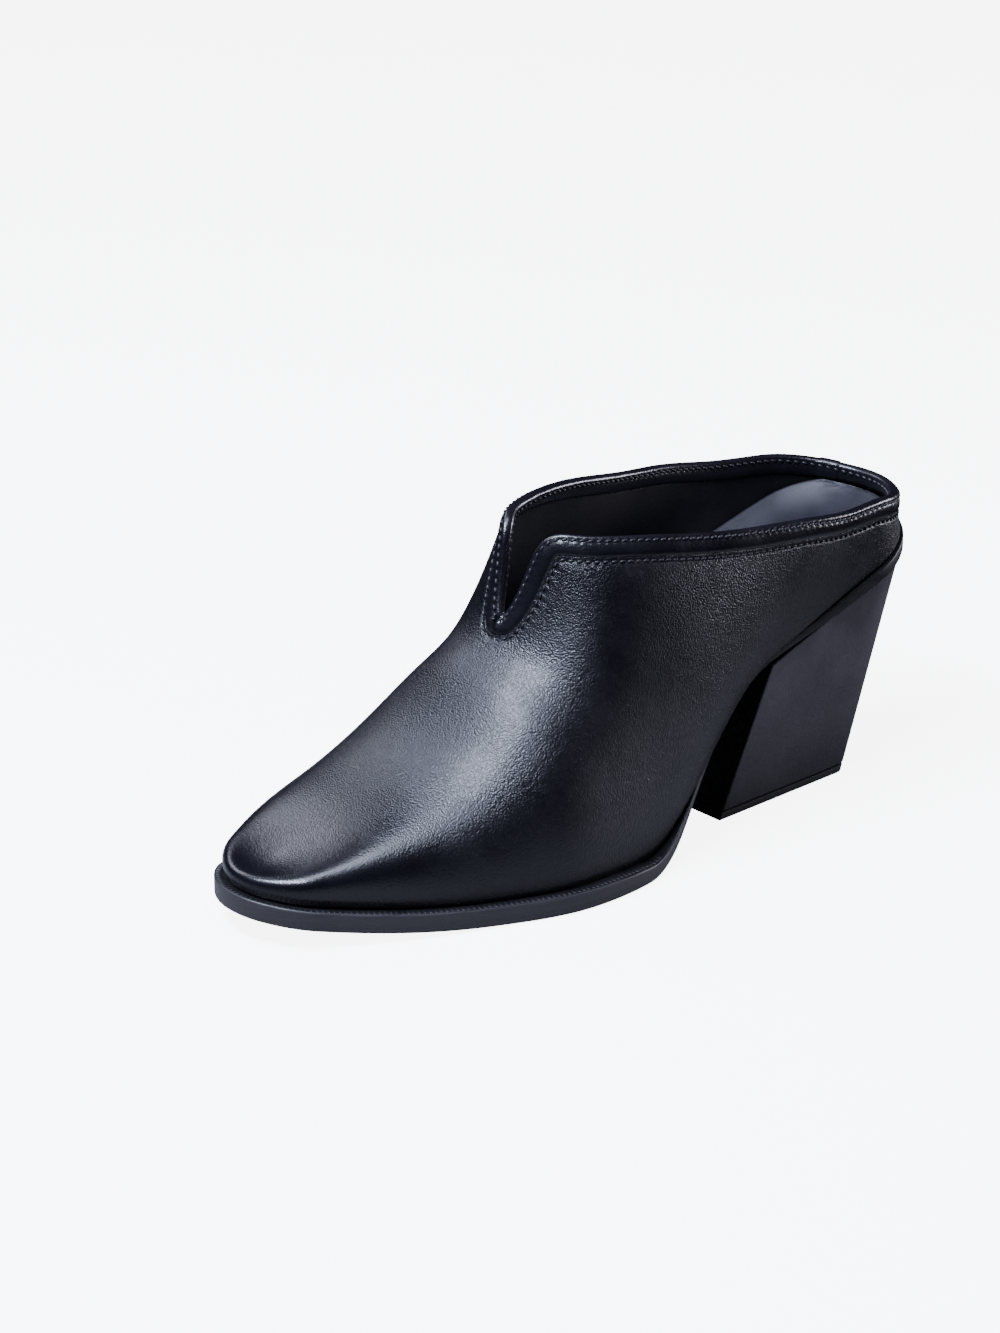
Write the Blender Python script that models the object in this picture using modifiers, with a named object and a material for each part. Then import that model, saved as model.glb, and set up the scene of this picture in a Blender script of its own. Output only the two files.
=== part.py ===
"""Left block heel mule: upper, topline binding, insole, outsole, heel block and top lift.

Metres, +Z up. The toe points along -Y and the outer side of the foot is +X.
Every skin is worked out from one last: a feather outline in plan, a crown line above it and a
rib from each point of the outline up to the crown. The topline and the throat notch cut the ribs.
"""

import math

import bmesh
import bpy
import numpy as np

# Driving sizes of the last.
LAST_LENGTH = 0.2432
BALL_WIDTH = 0.0800
INSTEP_HEIGHT = 0.1000
HEEL_RISE = 0.0685
SEAT_DROP = 0.0230
TOE_SPRING = 0.0072

# Leather, sole and heel.
UPPER_WALL = 0.0020
SOLE_THICKNESS = 0.0060
SOLE_LEDGE = 0.0033
SOLE_EDGE_ROUND = 0.0006
INSOLE_HEEL = 0.0055
INSOLE_FORE = 0.0030
INSOLE_CUP = 0.0052
INSOLE_SLOPE = 0.0110
INSOLE_EDGE_ROUND = 0.0010
BINDING_WIDTH = 0.0058
BINDING_THICKNESS = 0.0036
HEEL_FOOT_LENGTH = 0.0560
HEEL_FOOT_WIDTH = 0.0500
HEEL_FOOT_TAPER = 0.0030
HEEL_FOOT_SETBACK = 0.0325
HEEL_CORNER = 0.0035
HEEL_INSET = 0.0010
SEAT_LEDGE = 0.0007
LIFT_THICKNESS = 0.0022
CLEARANCE = 0.0003
INSOLE_ROOM = 0.0008

# Places along the last, as shares of its length from the heel end.
BREAST_AT = 0.290
TREAD_BACK_AT = 0.550
TREAD_FRONT_AT = 0.700
BALL_AT = 0.620
THROAT_AT = 0.640

# The round ends of the feather outline.
TOE_CAP_LENGTH = 0.0120
TOE_CAP_POWER = 2.3
HEEL_CAP_LENGTH = 0.0255
HEEL_CAP_POWER = 2.0

# The throat notch in front view: its reach to the outer and the inner side at a height above its
# bottom, how square its bottom is, and its blend into the collar.
NOTCH_OUTER = 0.0120
NOTCH_INNER = 0.0100
NOTCH_HEIGHT = 0.0212
NOTCH_POWER = 3.45
NOTCH_BLEND = 0.0040
NOTCH_BACK_AT = 0.530
NOTCH_BACK_SLOPE = 4.0

# How near the middle the collar's outer and inner heights start to run together.
COLLAR_MEETS_WITHIN = 0.0150

# The insole's raised rim is whole behind CUP_WHOLE_AT and gone in front of CUP_GONE_AT.
CUP_WHOLE_AT = 0.21
CUP_GONE_AT = 0.42

# Resolution of the skins.
RIBS = 68
RIB_SAMPLES = 241
SPACING_SAMPLES = 1201
HEEL_POINTS = 61
RIB_ROWS = 12
BINDING_SIDES = 10
CROWN_STEP = 0.004
OUTLINE_STEP = 0.0001
SHARP_ANGLE = 40.0
MERGE_WITHIN = 0.00001

# How much closer the ribs stand near the throat, and over what share of the length.
NEAR_THROAT = 2.0
NEAR_THROAT_REACH = 0.04

# How square the binding's section is: 1 is an ellipse, less is squarer.
BINDING_SQUARE = 0.7

# Feather outline: "outer" and "inner" are shares of the ball width from the heel's centre line.
OUTLINE_COLUMNS = ("along", "outer", "inner")
OUTLINE = (
    (0.00, 0.306, -0.306),
    (0.12, 0.319, -0.319),
    (0.24, 0.335, -0.331),
    (0.36, 0.372, -0.338),
    (0.45, 0.431, -0.356),
    (0.53, 0.491, -0.400),
    (0.60, 0.525, -0.450),
    (0.67, 0.524, -0.485),
    (0.74, 0.463, -0.498),
    (0.81, 0.388, -0.478),
    (0.88, 0.294, -0.419),
    (0.94, 0.198, -0.331),
    (1.00, 0.096, -0.219),
)

# Ribs: where each rib's crown stands, as a share of the last's length, its height above the
# pitch line as a share of the instep height, its sideways place as a share of the ball width,
# and how early the rib leans over to the crown's place (1 is evenly).
CROWN_COLUMNS = ("along", "crown_along", "height", "side", "lean")
CROWN = (
    (0.00, 0.114, 0.640, 0.000, 1.0),
    (0.12, 0.184, 0.860, 0.000, 1.0),
    (0.24, 0.306, 0.990, 0.000, 1.0),
    (0.36, 0.465, 1.060, 0.000, 1.3),
    (0.45, 0.580, 1.030, 0.000, 1.7),
    (0.53, 0.608, 0.900, 0.000, 2.0),
    (0.60, 0.635, 0.710, 0.000, 1.8),
    (0.67, 0.680, 0.600, -0.012, 1.3),
    (0.74, 0.733, 0.470, -0.028, 1.0),
    (0.81, 0.793, 0.365, -0.040, 1.0),
    (0.88, 0.854, 0.300, -0.050, 1.0),
    (0.94, 0.901, 0.252, -0.060, 1.0),
    (1.00, 0.944, 0.212, -0.062, 1.0),
)

# Section of a rib: how far out it reaches at RIB_RISES of its height, as shares of the way from
# the crown to the feather line in plan.
RIB_RISES = (0.0, 0.15, 0.45, 0.80, 1.0, 1.0)
SECTION_COLUMNS = ("along", "low", "middle", "high", "top")
SECTION = (
    (0.00, 0.94, 0.84, 0.74, 0.50),
    (0.12, 1.05, 1.10, 0.98, 0.60),
    (0.24, 1.10, 1.25, 1.10, 0.65),
    (0.36, 1.10, 1.20, 1.05, 0.62),
    (0.45, 1.07, 1.11, 0.97, 0.58),
    (0.53, 1.05, 1.01, 0.86, 0.50),
    (0.60, 1.04, 0.99, 0.82, 0.45),
    (0.67, 1.04, 1.00, 0.80, 0.42),
    (0.74, 1.04, 1.02, 0.82, 0.44),
    (0.81, 1.04, 1.03, 0.86, 0.48),
    (0.88, 1.04, 1.05, 0.92, 0.54),
    (0.94, 1.04, 1.07, 0.96, 0.58),
    (1.00, 1.04, 1.08, 0.97, 0.58),
)

# Topline: the seam under the binding, above the pitch line as a share of the instep height.
COLLAR_COLUMNS = ("along", "outer", "inner")
COLLAR = (
    (0.00, 0.107, 0.107),
    (0.06, 0.240, 0.253),
    (0.10, 0.332, 0.338),
    (0.17, 0.461, 0.467),
    (0.26, 0.619, 0.630),
    (0.33, 0.716, 0.735),
    (0.43, 0.832, 0.869),
    (0.52, 0.911, 0.941),
    (0.60, 0.941, 0.948),
    (0.70, 0.945, 0.935),
)

# Sole: thickness as a share of SOLE_THICKNESS and the ledge outside the feather line as a share
# of SOLE_LEDGE.
SOLE_COLUMNS = ("along", "thickness", "ledge")
SOLE = (
    (0.00, 0.75, 0.20),
    (0.12, 0.68, 0.40),
    (0.29, 0.45, -0.40),
    (0.42, 0.50, -0.20),
    (0.50, 0.70, 0.90),
    (0.57, 0.90, 1.30),
    (0.66, 1.00, 1.10),
    (0.80, 1.00, 1.05),
    (1.00, 1.00, 1.00),
)

# Insole's section from its underside to its pad: "level" 1 is the rim's level on the wall,
# "inset" a share of the slope's width and "rise" a share of the way from the pad to the rim.
INSOLE_PROFILE = (
    (0.0, 0.00, 0.00),
    (1.0, 0.00, 1.00),
    (1.0, 0.45, 0.32),
    (1.0, 1.00, 0.00),
)

COLOURS = {
    "upper": (0.014, 0.015, 0.024, 1.0),
    "topline_binding": (0.012, 0.013, 0.021, 1.0),
    "insole": (0.060, 0.068, 0.110, 1.0),
    "outsole": (0.030, 0.030, 0.037, 1.0),
    "heel_block": (0.040, 0.038, 0.052, 1.0),
    "heel_top_lift": (0.012, 0.012, 0.014, 1.0),
}
ROUGHNESS = {
    "upper": 0.34,
    "topline_binding": 0.38,
    "insole": 0.30,
    "outsole": 0.55,
    "heel_block": 0.45,
    "heel_top_lift": 0.70,
}


class Curves:
    """Smooth curves through the columns of a table, all against its first column."""

    def __init__(self, columns, rows):
        values = np.array(rows, float)
        self.at = values[:, 0]
        self.columns = {name: values[:, i] for i, name in enumerate(columns)}
        self.bends = {name: self.bend(column) for name, column in self.columns.items()}

    def bend(self, column):
        """Second derivatives of the natural cubic spline through one column."""
        step = np.diff(self.at)
        size = len(self.at)
        matrix = np.eye(size)
        right = np.zeros(size)
        for i in range(1, size - 1):
            matrix[i, i - 1 : i + 2] = step[i - 1], 2 * (step[i - 1] + step[i]), step[i]
            rise = (column[i + 1] - column[i]) / step[i]
            right[i] = 6 * (rise - (column[i] - column[i - 1]) / step[i - 1])
        return np.linalg.solve(matrix, right)

    def read(self, name, at):
        at = np.clip(np.asarray(at, float), self.at[0], self.at[-1])
        i = np.clip(np.searchsorted(self.at, at) - 1, 0, len(self.at) - 2)
        step = self.at[i + 1] - self.at[i]
        before = (self.at[i + 1] - at) / step
        after = (at - self.at[i]) / step
        column = self.columns[name]
        bend = self.bends[name]
        curve = (before**3 - before) * bend[i] + (after**3 - after) * bend[i + 1]
        return before * column[i] + after * column[i + 1] + curve * step**2 / 6


OUTLINE_CURVES = Curves(OUTLINE_COLUMNS, OUTLINE)
CROWN_CURVES = Curves(CROWN_COLUMNS, CROWN)
SECTION_CURVES = Curves(SECTION_COLUMNS, SECTION)
COLLAR_CURVES = Curves(COLLAR_COLUMNS, COLLAR)
SOLE_CURVES = Curves(SOLE_COLUMNS, SOLE)


def y_of(along):
    """The place of a share of the last's length, with the heel end at +Y."""
    return LAST_LENGTH * (0.5 - np.asarray(along, float))


def along_of(y):
    return 0.5 - np.asarray(y, float) / LAST_LENGTH


def pitch(along):
    """The line that the heel lifts: nothing at the ball, HEEL_RISE at the heel end."""
    return HEEL_RISE * np.clip((BALL_AT - along) / BALL_AT, 0, None) ** 2


def sole_bottom(along):
    """Height of the outsole's underside: heel seat, shank, tread and toe spring."""
    along = np.asarray(along, float)
    slope = SEAT_DROP / (BREAST_AT * LAST_LENGTH)
    seat = HEEL_RISE + CLEARANCE - SEAT_DROP * along / BREAST_AT
    breast = HEEL_RISE + CLEARANCE - SEAT_DROP
    run = (TREAD_BACK_AT - BREAST_AT) * LAST_LENGTH
    t = np.clip((TREAD_BACK_AT - along) / (TREAD_BACK_AT - BREAST_AT), 0, 1)
    shank = breast * (3 * t**2 - 2 * t**3) + slope * run * (t**3 - t**2)
    lift = np.clip((along - TREAD_FRONT_AT) / (1 - TREAD_FRONT_AT), 0, None)
    return np.where(along < BREAST_AT, seat, shank) + TOE_SPRING * lift**2


def sole_top(along):
    return sole_bottom(along) + SOLE_THICKNESS * SOLE_CURVES.read("thickness", along)


def end_factor(depth, length, power):
    """How much of its width an outline keeps near a round end, at this depth behind it."""
    share = np.clip(1 - depth / length, 0, 1)
    return (1 - share**power) ** (1 / power)


def feather(along, side):
    """Plan x of the feather line on one side, "outer" or "inner"."""
    outer = BALL_WIDTH * OUTLINE_CURVES.read("outer", along)
    inner = BALL_WIDTH * OUTLINE_CURVES.read("inner", along)
    middle = (outer + inner) / 2
    half = (outer - inner) / 2
    half = half * end_factor((1 - along) * LAST_LENGTH, TOE_CAP_LENGTH, TOE_CAP_POWER)
    half = half * end_factor(along * LAST_LENGTH, HEEL_CAP_LENGTH, HEEL_CAP_POWER)
    return middle + (half if side == "outer" else -half)


def basis(count, t):
    """Clamped cubic B-spline weights of count control points at each t from 0 to 1."""
    degree = 3
    inner = np.linspace(0, 1, count - degree + 1)
    knots = np.concatenate([np.zeros(degree), inner, np.ones(degree)])
    t = np.clip(np.asarray(t, float), 0, 1 - 1e-9)[..., None]
    weights = ((t >= knots[:-1]) & (t < knots[1:])).astype(float)
    for d in range(1, degree + 1):
        size = len(knots) - d - 1
        left = knots[d : d + size] - knots[:size]
        right = knots[d + 1 : d + 1 + size] - knots[1 : 1 + size]
        rising = np.where(left > 0, (t - knots[:size]) / np.where(left > 0, left, 1), 0)
        falling = (knots[d + 1 : d + 1 + size] - t) / np.where(right > 0, right, 1)
        falling = np.where(right > 0, falling, 0)
        weights = weights[..., :size] * rising + weights[..., 1 : size + 1] * falling
    return weights


def crown_line(along):
    """Place along the last and height of the crown over ribs that start at these shares."""
    crown_along = CROWN_CURVES.read("crown_along", along)
    return crown_along, pitch(crown_along) + INSTEP_HEIGHT * CROWN_CURVES.read("height", along)


def rib_points(along, side, t):
    """Points of the ribs that start at these shares of the length, at each t up the rib."""
    along = np.asarray(along, float)[:, None]
    t = np.asarray(t, float)
    reach = [np.ones_like(along)]
    for name in SECTION_COLUMNS[1:]:
        reach.append(SECTION_CURVES.read(name, along))
    reach = np.concatenate(reach + [np.zeros_like(along)], axis=1)
    weights = basis(len(RIB_RISES), t)
    if weights.ndim == 2:
        weights = np.broadcast_to(weights, (len(along),) + weights.shape)
    out = np.einsum("rtc,rc->rt", weights, reach)
    crown_x = BALL_WIDTH * CROWN_CURVES.read("side", along)
    crown_along, crown_z = crown_line(along)
    foot_x = feather(along, side)
    foot_z = sole_top(along) + CLEARANCE
    lean = CROWN_CURVES.read("lean", along)
    near = crown_line(along - CROWN_STEP)
    far = crown_line(along + CROWN_STEP)
    slope = (far[1] - near[1]) / (far[0] - near[0])
    dip = slope * (along - crown_along) * reach[:, 4:5] ** lean / (crown_z - foot_z)
    dip = dip * np.clip(2 - lean, 0, 1)
    rises = np.tile(RIB_RISES, (len(along), 1))
    rises[:, 4:5] += dip
    rise = np.einsum("rtc,rc->rt", weights, rises)
    x = crown_x + (foot_x - crown_x) * out
    y = y_of(crown_along) + (y_of(along) - y_of(crown_along)) * np.abs(out) ** lean
    z = foot_z + (crown_z - foot_z) * rise
    return np.stack([x, y, z], axis=-1)


def throat_bottom():
    """Height of the crown line where the throat notch starts."""
    crown_along, height = crown_line(np.linspace(TREAD_BACK_AT, TREAD_FRONT_AT, RIB_SAMPLES))
    return float(np.interp(THROAT_AT, crown_along, height))


def cut_height(points):
    """Height above which the skin is cut away: the throat notch blended with the collar."""
    across = np.abs(points[..., 0])
    along = along_of(points[..., 1])
    half = np.where(points[..., 0] > 0, NOTCH_OUTER, NOTCH_INNER)
    notch = throat_bottom() + NOTCH_HEIGHT * (across / half) ** NOTCH_POWER
    notch = notch + NOTCH_BACK_SLOPE * LAST_LENGTH * np.clip(NOTCH_BACK_AT - along, 0, None)
    outer = COLLAR_CURVES.read("outer", along)
    inner = COLLAR_CURVES.read("inner", along)
    outwards = np.clip(points[..., 0] / COLLAR_MEETS_WITHIN, -1, 1)
    share = (outer + inner) / 2 + (outer - inner) / 2 * outwards
    collar = pitch(along) + INSTEP_HEIGHT * share
    low = np.minimum(notch, collar)
    high = np.maximum(notch, collar)
    return low - NOTCH_BLEND * np.log1p(np.exp((low - high) / NOTCH_BLEND))


def rib_ends(along, side):
    """How far up each rib the skin goes: 1 where it reaches the crown."""
    t = np.linspace(0, 1, RIB_SAMPLES)
    points = rib_points(along, side, t)
    over = points[..., 2] - cut_height(points)
    ends = np.ones(len(along))
    for i, row in enumerate(over):
        above = np.nonzero(row > 0)[0]
        if len(above):
            k = max(above[0], 1)
            ends[i] = t[k - 1] + (t[k] - t[k - 1]) * row[k - 1] / (row[k - 1] - row[k])
    return ends


def spaced(count):
    """Feet of the ribs from the toe to the heel, evenly along both the feather and the topline."""
    along = 0.5 + 0.5 * np.cos(np.linspace(0, math.pi, SPACING_SAMPLES))
    feet = np.stack([feather(along, "outer"), y_of(along)], axis=1)
    ends = rib_ends(along, "outer")
    tops = rib_points(along, "outer", ends[:, None])[:, 0]
    near_throat = np.exp(-(((along_of(tops[1:, 1]) - THROAT_AT) / NEAR_THROAT_REACH) ** 2))
    walk = np.linalg.norm(np.diff(feet, axis=0), axis=1)
    walk = walk + (1 + NEAR_THROAT * near_throat) * np.linalg.norm(np.diff(tops, axis=0), axis=1)
    walked = np.concatenate([[0], np.cumsum(walk)])
    cut_from = np.nonzero(ends < 1)[0][0]
    split = walked[cut_from] / walked[-1]
    front = max(2, round(split * count))
    shares = np.concatenate(
        [
            np.linspace(0, walked[cut_from - 1], front, endpoint=False),
            np.linspace(walked[cut_from - 1], walked[-1], count - front + 1),
        ]
    )
    return np.interp(shares, walked, along), front


def skin(side, along, front, rows):
    """Grid of points on one side: a rib per row, its points from the feather to its end."""
    ends = rib_ends(along, side)
    ends[: front + 1] = 1
    t = np.linspace(0, 1, rows + 1)
    return rib_points(along, side, ends[:, None] * t)


def unit(vectors):
    return vectors / np.linalg.norm(vectors, axis=-1, keepdims=True)


def new_object(name, verts, faces, collection):
    mesh = bpy.data.meshes.new(name)
    mesh.from_pydata([tuple(map(float, v)) for v in verts], [], faces)
    work = bmesh.new()
    work.from_mesh(mesh)
    bmesh.ops.remove_doubles(work, verts=work.verts, dist=MERGE_WITHIN)
    bmesh.ops.recalc_face_normals(work, faces=work.faces)
    work.to_mesh(mesh)
    work.free()
    obj = bpy.data.objects.new(name, mesh)
    collection.objects.link(obj)
    material = bpy.data.materials.new(name)
    material.use_nodes = True
    shader = material.node_tree.nodes["Principled BSDF"]
    shader.inputs["Base Color"].default_value = COLOURS[name]
    shader.inputs["Roughness"].default_value = ROUGHNESS[name]
    material.diffuse_color = COLOURS[name]
    mesh.materials.append(material)
    mesh.shade_smooth()
    mesh.set_sharp_from_angle(angle=math.radians(SHARP_ANGLE))
    return obj


def grid_faces(rows, columns, start=0, wrap=False):
    """Quads between neighbouring rows of a grid of points, closed round each row when wrapped."""
    faces = []
    for r in range(rows - 1):
        for c in range(columns if wrap else columns - 1):
            d = (c + 1) % columns
            a, b = start + r * columns, start + (r + 1) * columns
            faces.append((a + c, a + d, b + d, b + c))
    return faces


def faces_inward(mesh):
    """Whether an open skin's faces look at its own middle."""
    centres = np.array([face.center for face in mesh.polygons])
    normals = np.array([face.normal for face in mesh.polygons])
    areas = np.array([face.area for face in mesh.polygons])
    axis = np.column_stack([np.zeros(len(centres)), centres[:, 1], centres[:, 2]])
    return float((normals * (centres - axis)).sum(axis=1) @ areas) < 0


def make_upper(collection, along, front):
    verts = []
    faces = []
    for side in ("outer", "inner"):
        grid = skin(side, along, front, RIB_ROWS)
        faces += grid_faces(len(along), RIB_ROWS + 1, len(verts))
        verts += list(grid.reshape(-1, 3))
    obj = new_object("upper", verts, faces, collection)
    if faces_inward(obj.data):
        obj.data.flip_normals()
    wall = obj.modifiers.new("wall", "SOLIDIFY")
    wall.thickness = UPPER_WALL
    wall.offset = -1
    wall.use_even_offset = True
    wall.use_quality_normals = True
    return obj


def topline(along, front):
    """Closed loop of the cut edge with its frames: points, up the wall, and out of the wall."""
    edge = {}
    climb = {}
    for side in ("outer", "inner"):
        ends = rib_ends(along[front:], side)
        ends[0] = 1
        pairs = rib_points(along[front:], side, np.stack([ends - CROWN_STEP, ends], axis=1))
        edge[side] = pairs[:, 1]
        climb[side] = pairs[:, 1] - pairs[:, 0]
    crown = rib_points(along[front] + np.array([CROWN_STEP, -CROWN_STEP]), "outer", [1.0])[:, 0]
    climb["outer"][0] = crown[1] - crown[0]
    loop = np.concatenate([edge["outer"], edge["inner"][-2:0:-1]])
    up = np.concatenate([climb["outer"], climb["inner"][-2:0:-1]])
    ahead = unit(np.roll(loop, -1, axis=0) - np.roll(loop, 1, axis=0))
    out = unit(np.cross(ahead, up))
    return loop, unit(np.cross(out, ahead)), out


def squarer(wave):
    return math.copysign(abs(wave) ** BINDING_SQUARE, wave)


def make_binding(collection, along, front):
    loop, up, out = topline(along, front)
    verts = []
    turns = np.arange(BINDING_SIDES) * 2 * math.pi / BINDING_SIDES
    for place, climb, away in zip(loop, up, out):
        base = place + climb * (CLEARANCE + BINDING_WIDTH / 2) - away * UPPER_WALL / 2
        for turn in turns:
            tall = squarer(math.sin(turn)) * BINDING_WIDTH / 2
            wide = squarer(math.cos(turn)) * BINDING_THICKNESS / 2
            verts.append(base + climb * tall + away * wide)
    rings = len(loop)
    faces = []
    for r in range(rings):
        for c in range(BINDING_SIDES):
            d = (c + 1) % BINDING_SIDES
            a, b = r * BINDING_SIDES, ((r + 1) % rings) * BINDING_SIDES
            faces.append((a + c, b + c, b + d, a + d))
    return new_object("topline_binding", verts, faces, collection)


def offset_outline(along, side, distance):
    """Plan points at a distance outside the feather line, square to it."""
    low = np.clip(along - OUTLINE_STEP, 0, 1)
    high = np.clip(along + OUTLINE_STEP, 0, 1)
    dx = feather(high, side) - feather(low, side)
    dy = y_of(high) - y_of(low)
    length = np.hypot(dx, dy)
    sign = 1 if side == "outer" else -1
    nx, ny = -dy / length * sign, dx / length * sign
    return np.stack([feather(along, side) + nx * distance, y_of(along) + ny * distance], axis=1)


def make_outsole(collection, along):
    ledge = SOLE_LEDGE * SOLE_CURVES.read("ledge", along)
    rounding = SOLE_EDGE_ROUND
    profile = ((-rounding, 0), (0, rounding), (0, -rounding), (-rounding, 0))
    rings = []
    for k, (inset, lift) in enumerate(profile):
        outer = offset_outline(along, "outer", ledge + inset)
        inner = offset_outline(along, "inner", ledge + inset)[1:-1][::-1]
        plan = np.concatenate([outer, inner])
        at = along_of(plan[:, 1])
        height = (sole_bottom(at) if k < 2 else sole_top(at)) + lift
        rings.append(np.column_stack([plan, height]))
    return sole_solid("outsole", rings, len(along), collection)


def sole_solid(name, rings, rows, collection):
    """Closed solid through rings that each run up the outer side and back down the inner one."""
    size = len(rings[0])
    faces = grid_faces(len(rings), size, wrap=True)
    for start in (0, (len(rings) - 1) * size):
        for i in range(rows - 1):
            across = [i, i + 1, (size - i - 1) % size, (size - i) % size]
            faces.append(tuple(start + k for k in dict.fromkeys(across)))
    return new_object(name, np.concatenate(rings), faces, collection)


def insole_ring(along, side, level, inset, height):
    """Points this far inside the wall's face at one level, set at a height above the sole."""
    points = rib_points(along, side, np.linspace(0, 1, RIB_SAMPLES))
    at = sole_top(along) + CLEARANCE + level
    place = np.zeros((len(along), 3))
    for i in range(len(along)):
        place[i] = [np.interp(at[i], points[i, :, 2], points[i, :, k]) for k in range(3)]
    ahead = np.gradient(place[:, :2], axis=0)
    if side == "inner":
        ahead = -ahead
    ahead[0] = (1.0, 0.0)
    ahead[-1] = (-1.0, 0.0)
    ahead = unit(ahead)
    normal = np.stack([ahead[:, 1], -ahead[:, 0]], axis=1)
    place[:, :2] -= normal * (UPPER_WALL + 2 * CLEARANCE + inset)[:, None]
    place[:, 2] = sole_top(along_of(place[:, 1])) + CLEARANCE + height
    return place


def make_insole(collection, along):
    """Footbed with a raised rim round the heel, sloping in to the pad under the foot."""
    cup = np.clip((CUP_GONE_AT - along) / (CUP_GONE_AT - CUP_WHOLE_AT), 0, 1)
    cup = cup**2 * (3 - 2 * cup)
    pad = INSOLE_FORE + (INSOLE_HEEL - INSOLE_FORE) * cup
    slope = INSOLE_EDGE_ROUND + INSOLE_SLOPE * cup
    rims = {}
    for side in ("outer", "inner"):
        ends = rib_points(along, side, rib_ends(along, side)[:, None])[:, 0, 2]
        room = ends - sole_top(along) - INSOLE_ROOM
        rims[side] = np.minimum(pad + INSOLE_CUP * cup, room)
    rings = []
    for level, inset, rise in INSOLE_PROFILE:
        sides = []
        for side, rim in rims.items():
            height = level * (pad + (rim - pad) * rise)
            sides.append(insole_ring(along, side, level * rim, inset * slope, height))
        rings.append(np.concatenate([sides[0], sides[1][1:-1][::-1]]))
    return sole_solid("insole", rings, len(along), collection)


def block_outlines(count):
    """Plan of the heel's foot and of its top under the seat, point for point."""
    seat = BREAST_AT * 0.5 * (1 - np.cos(np.linspace(0, math.pi, RIB_SAMPLES)))
    ledge = np.maximum(SOLE_LEDGE * SOLE_CURVES.read("ledge", seat), SEAT_LEDGE) - HEEL_INSET
    outer = offset_outline(seat, "outer", ledge)
    inner = offset_outline(seat, "inner", ledge)
    top = np.concatenate([outer[::-1], inner[1:]])
    back_y = y_of(0) - HEEL_FOOT_SETBACK
    half = HEEL_FOOT_WIDTH / 2
    back_half = half - HEEL_FOOT_TAPER
    front_y = back_y - HEEL_FOOT_LENGTH
    corner = []
    for k in range(9):
        turn = math.pi / 2 * k / 8
        corner.append(
            (
                back_half - HEEL_CORNER + HEEL_CORNER * math.cos(turn),
                back_y - HEEL_CORNER + HEEL_CORNER * math.sin(turn),
            )
        )
    right = [(half, front_y)] + corner + [(0.0, back_y)]
    foot = np.array(right + [(-x, y) for x, y in right[-2::-1]])
    top[0, 1] = top[-1, 1] = y_of(BREAST_AT)

    def evenly(path):
        walk = np.concatenate([[0], np.cumsum(np.linalg.norm(np.diff(path, axis=0), axis=1))])
        share = np.linspace(0, walk[-1], count)
        return np.stack([np.interp(share, walk, path[:, k]) for k in (0, 1)], axis=1)

    return evenly(foot), evenly(top)


def make_heel(collection):
    foot, top = block_outlines(HEEL_POINTS)
    seat_z = sole_bottom(along_of(top[:, 1])) - CLEARANCE
    foot_3d = np.column_stack([foot, np.zeros(len(foot))])
    top_3d = np.column_stack([top, seat_z])

    def level(z):
        share = (z / top_3d[:, 2])[:, None]
        return foot_3d + (top_3d - foot_3d) * share

    def solid(name, low, high):
        size = len(low)
        verts = np.concatenate([low, high])
        faces = grid_faces(2, size, wrap=True)
        faces.append(tuple(range(size))[::-1])
        faces.append(tuple(range(size, 2 * size)))
        return new_object(name, verts, faces, collection)

    solid("heel_top_lift", level(0.0), level(LIFT_THICKNESS))
    solid("heel_block", level(LIFT_THICKNESS + CLEARANCE), top_3d)


def centre(objects):
    """Moves the parts so that the box round them stands on the floor, centred on the origin."""
    corners = np.array([v.co for obj in objects for v in obj.data.vertices])
    shift = -(corners.min(axis=0) + corners.max(axis=0)) / 2
    for obj in objects:
        for v in obj.data.vertices:
            v.co.x += shift[0]
            v.co.y += shift[1]


def main():
    for obj in list(bpy.data.objects):
        bpy.data.objects.remove(obj, do_unlink=True)
    collection = bpy.data.collections.new("block_heel_mule")
    bpy.context.scene.collection.children.link(collection)
    along, front = spaced(RIBS)
    make_upper(collection, along, front)
    make_binding(collection, along, front)
    make_outsole(collection, along)
    make_insole(collection, along)
    make_heel(collection)
    centre(list(collection.objects))


main()
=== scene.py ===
"""Looks of a left block heel mule: leather skin, lining, topline tape, stitches, sock, sole, heel.

Metres, +Z up. The toe points along -Y and the outer side of the foot is +X.
The skins are worked out from the same last as the solids: a feather outline in plan, a crown line
above it, and ribs between them that the topline cuts.
"""

import math

import bmesh
import bpy
import numpy as np
from mathutils import Euler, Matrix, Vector, noise


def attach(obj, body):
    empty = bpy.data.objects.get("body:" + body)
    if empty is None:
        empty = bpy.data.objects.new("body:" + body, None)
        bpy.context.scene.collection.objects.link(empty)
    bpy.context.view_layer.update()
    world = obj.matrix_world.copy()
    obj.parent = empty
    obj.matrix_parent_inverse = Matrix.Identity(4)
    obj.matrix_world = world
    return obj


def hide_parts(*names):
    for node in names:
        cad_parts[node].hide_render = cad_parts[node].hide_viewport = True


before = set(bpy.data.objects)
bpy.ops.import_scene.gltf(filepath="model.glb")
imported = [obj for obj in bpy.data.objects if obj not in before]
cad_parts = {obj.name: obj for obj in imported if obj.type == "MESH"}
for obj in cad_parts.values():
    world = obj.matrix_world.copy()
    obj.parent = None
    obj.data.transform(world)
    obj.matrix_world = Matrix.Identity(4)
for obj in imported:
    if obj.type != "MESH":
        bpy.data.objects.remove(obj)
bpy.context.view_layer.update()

bl_info = {
    "name": "Block heel mule looks",
    "version": (1, 0, 0),
    "blender": (4, 5, 0),
    "location": "3D View > Sidebar > Mule",
    "description": "Dresses the solids of a block heel mule in leather, stitches and a sole",
    "category": "Object",
}

# Driving sizes of the last.
LAST_LENGTH = 0.2432
BALL_WIDTH = 0.0800
INSTEP_HEIGHT = 0.1000
HEEL_RISE = 0.0685
SEAT_DROP = 0.0230
TOE_SPRING = 0.0072

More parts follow.
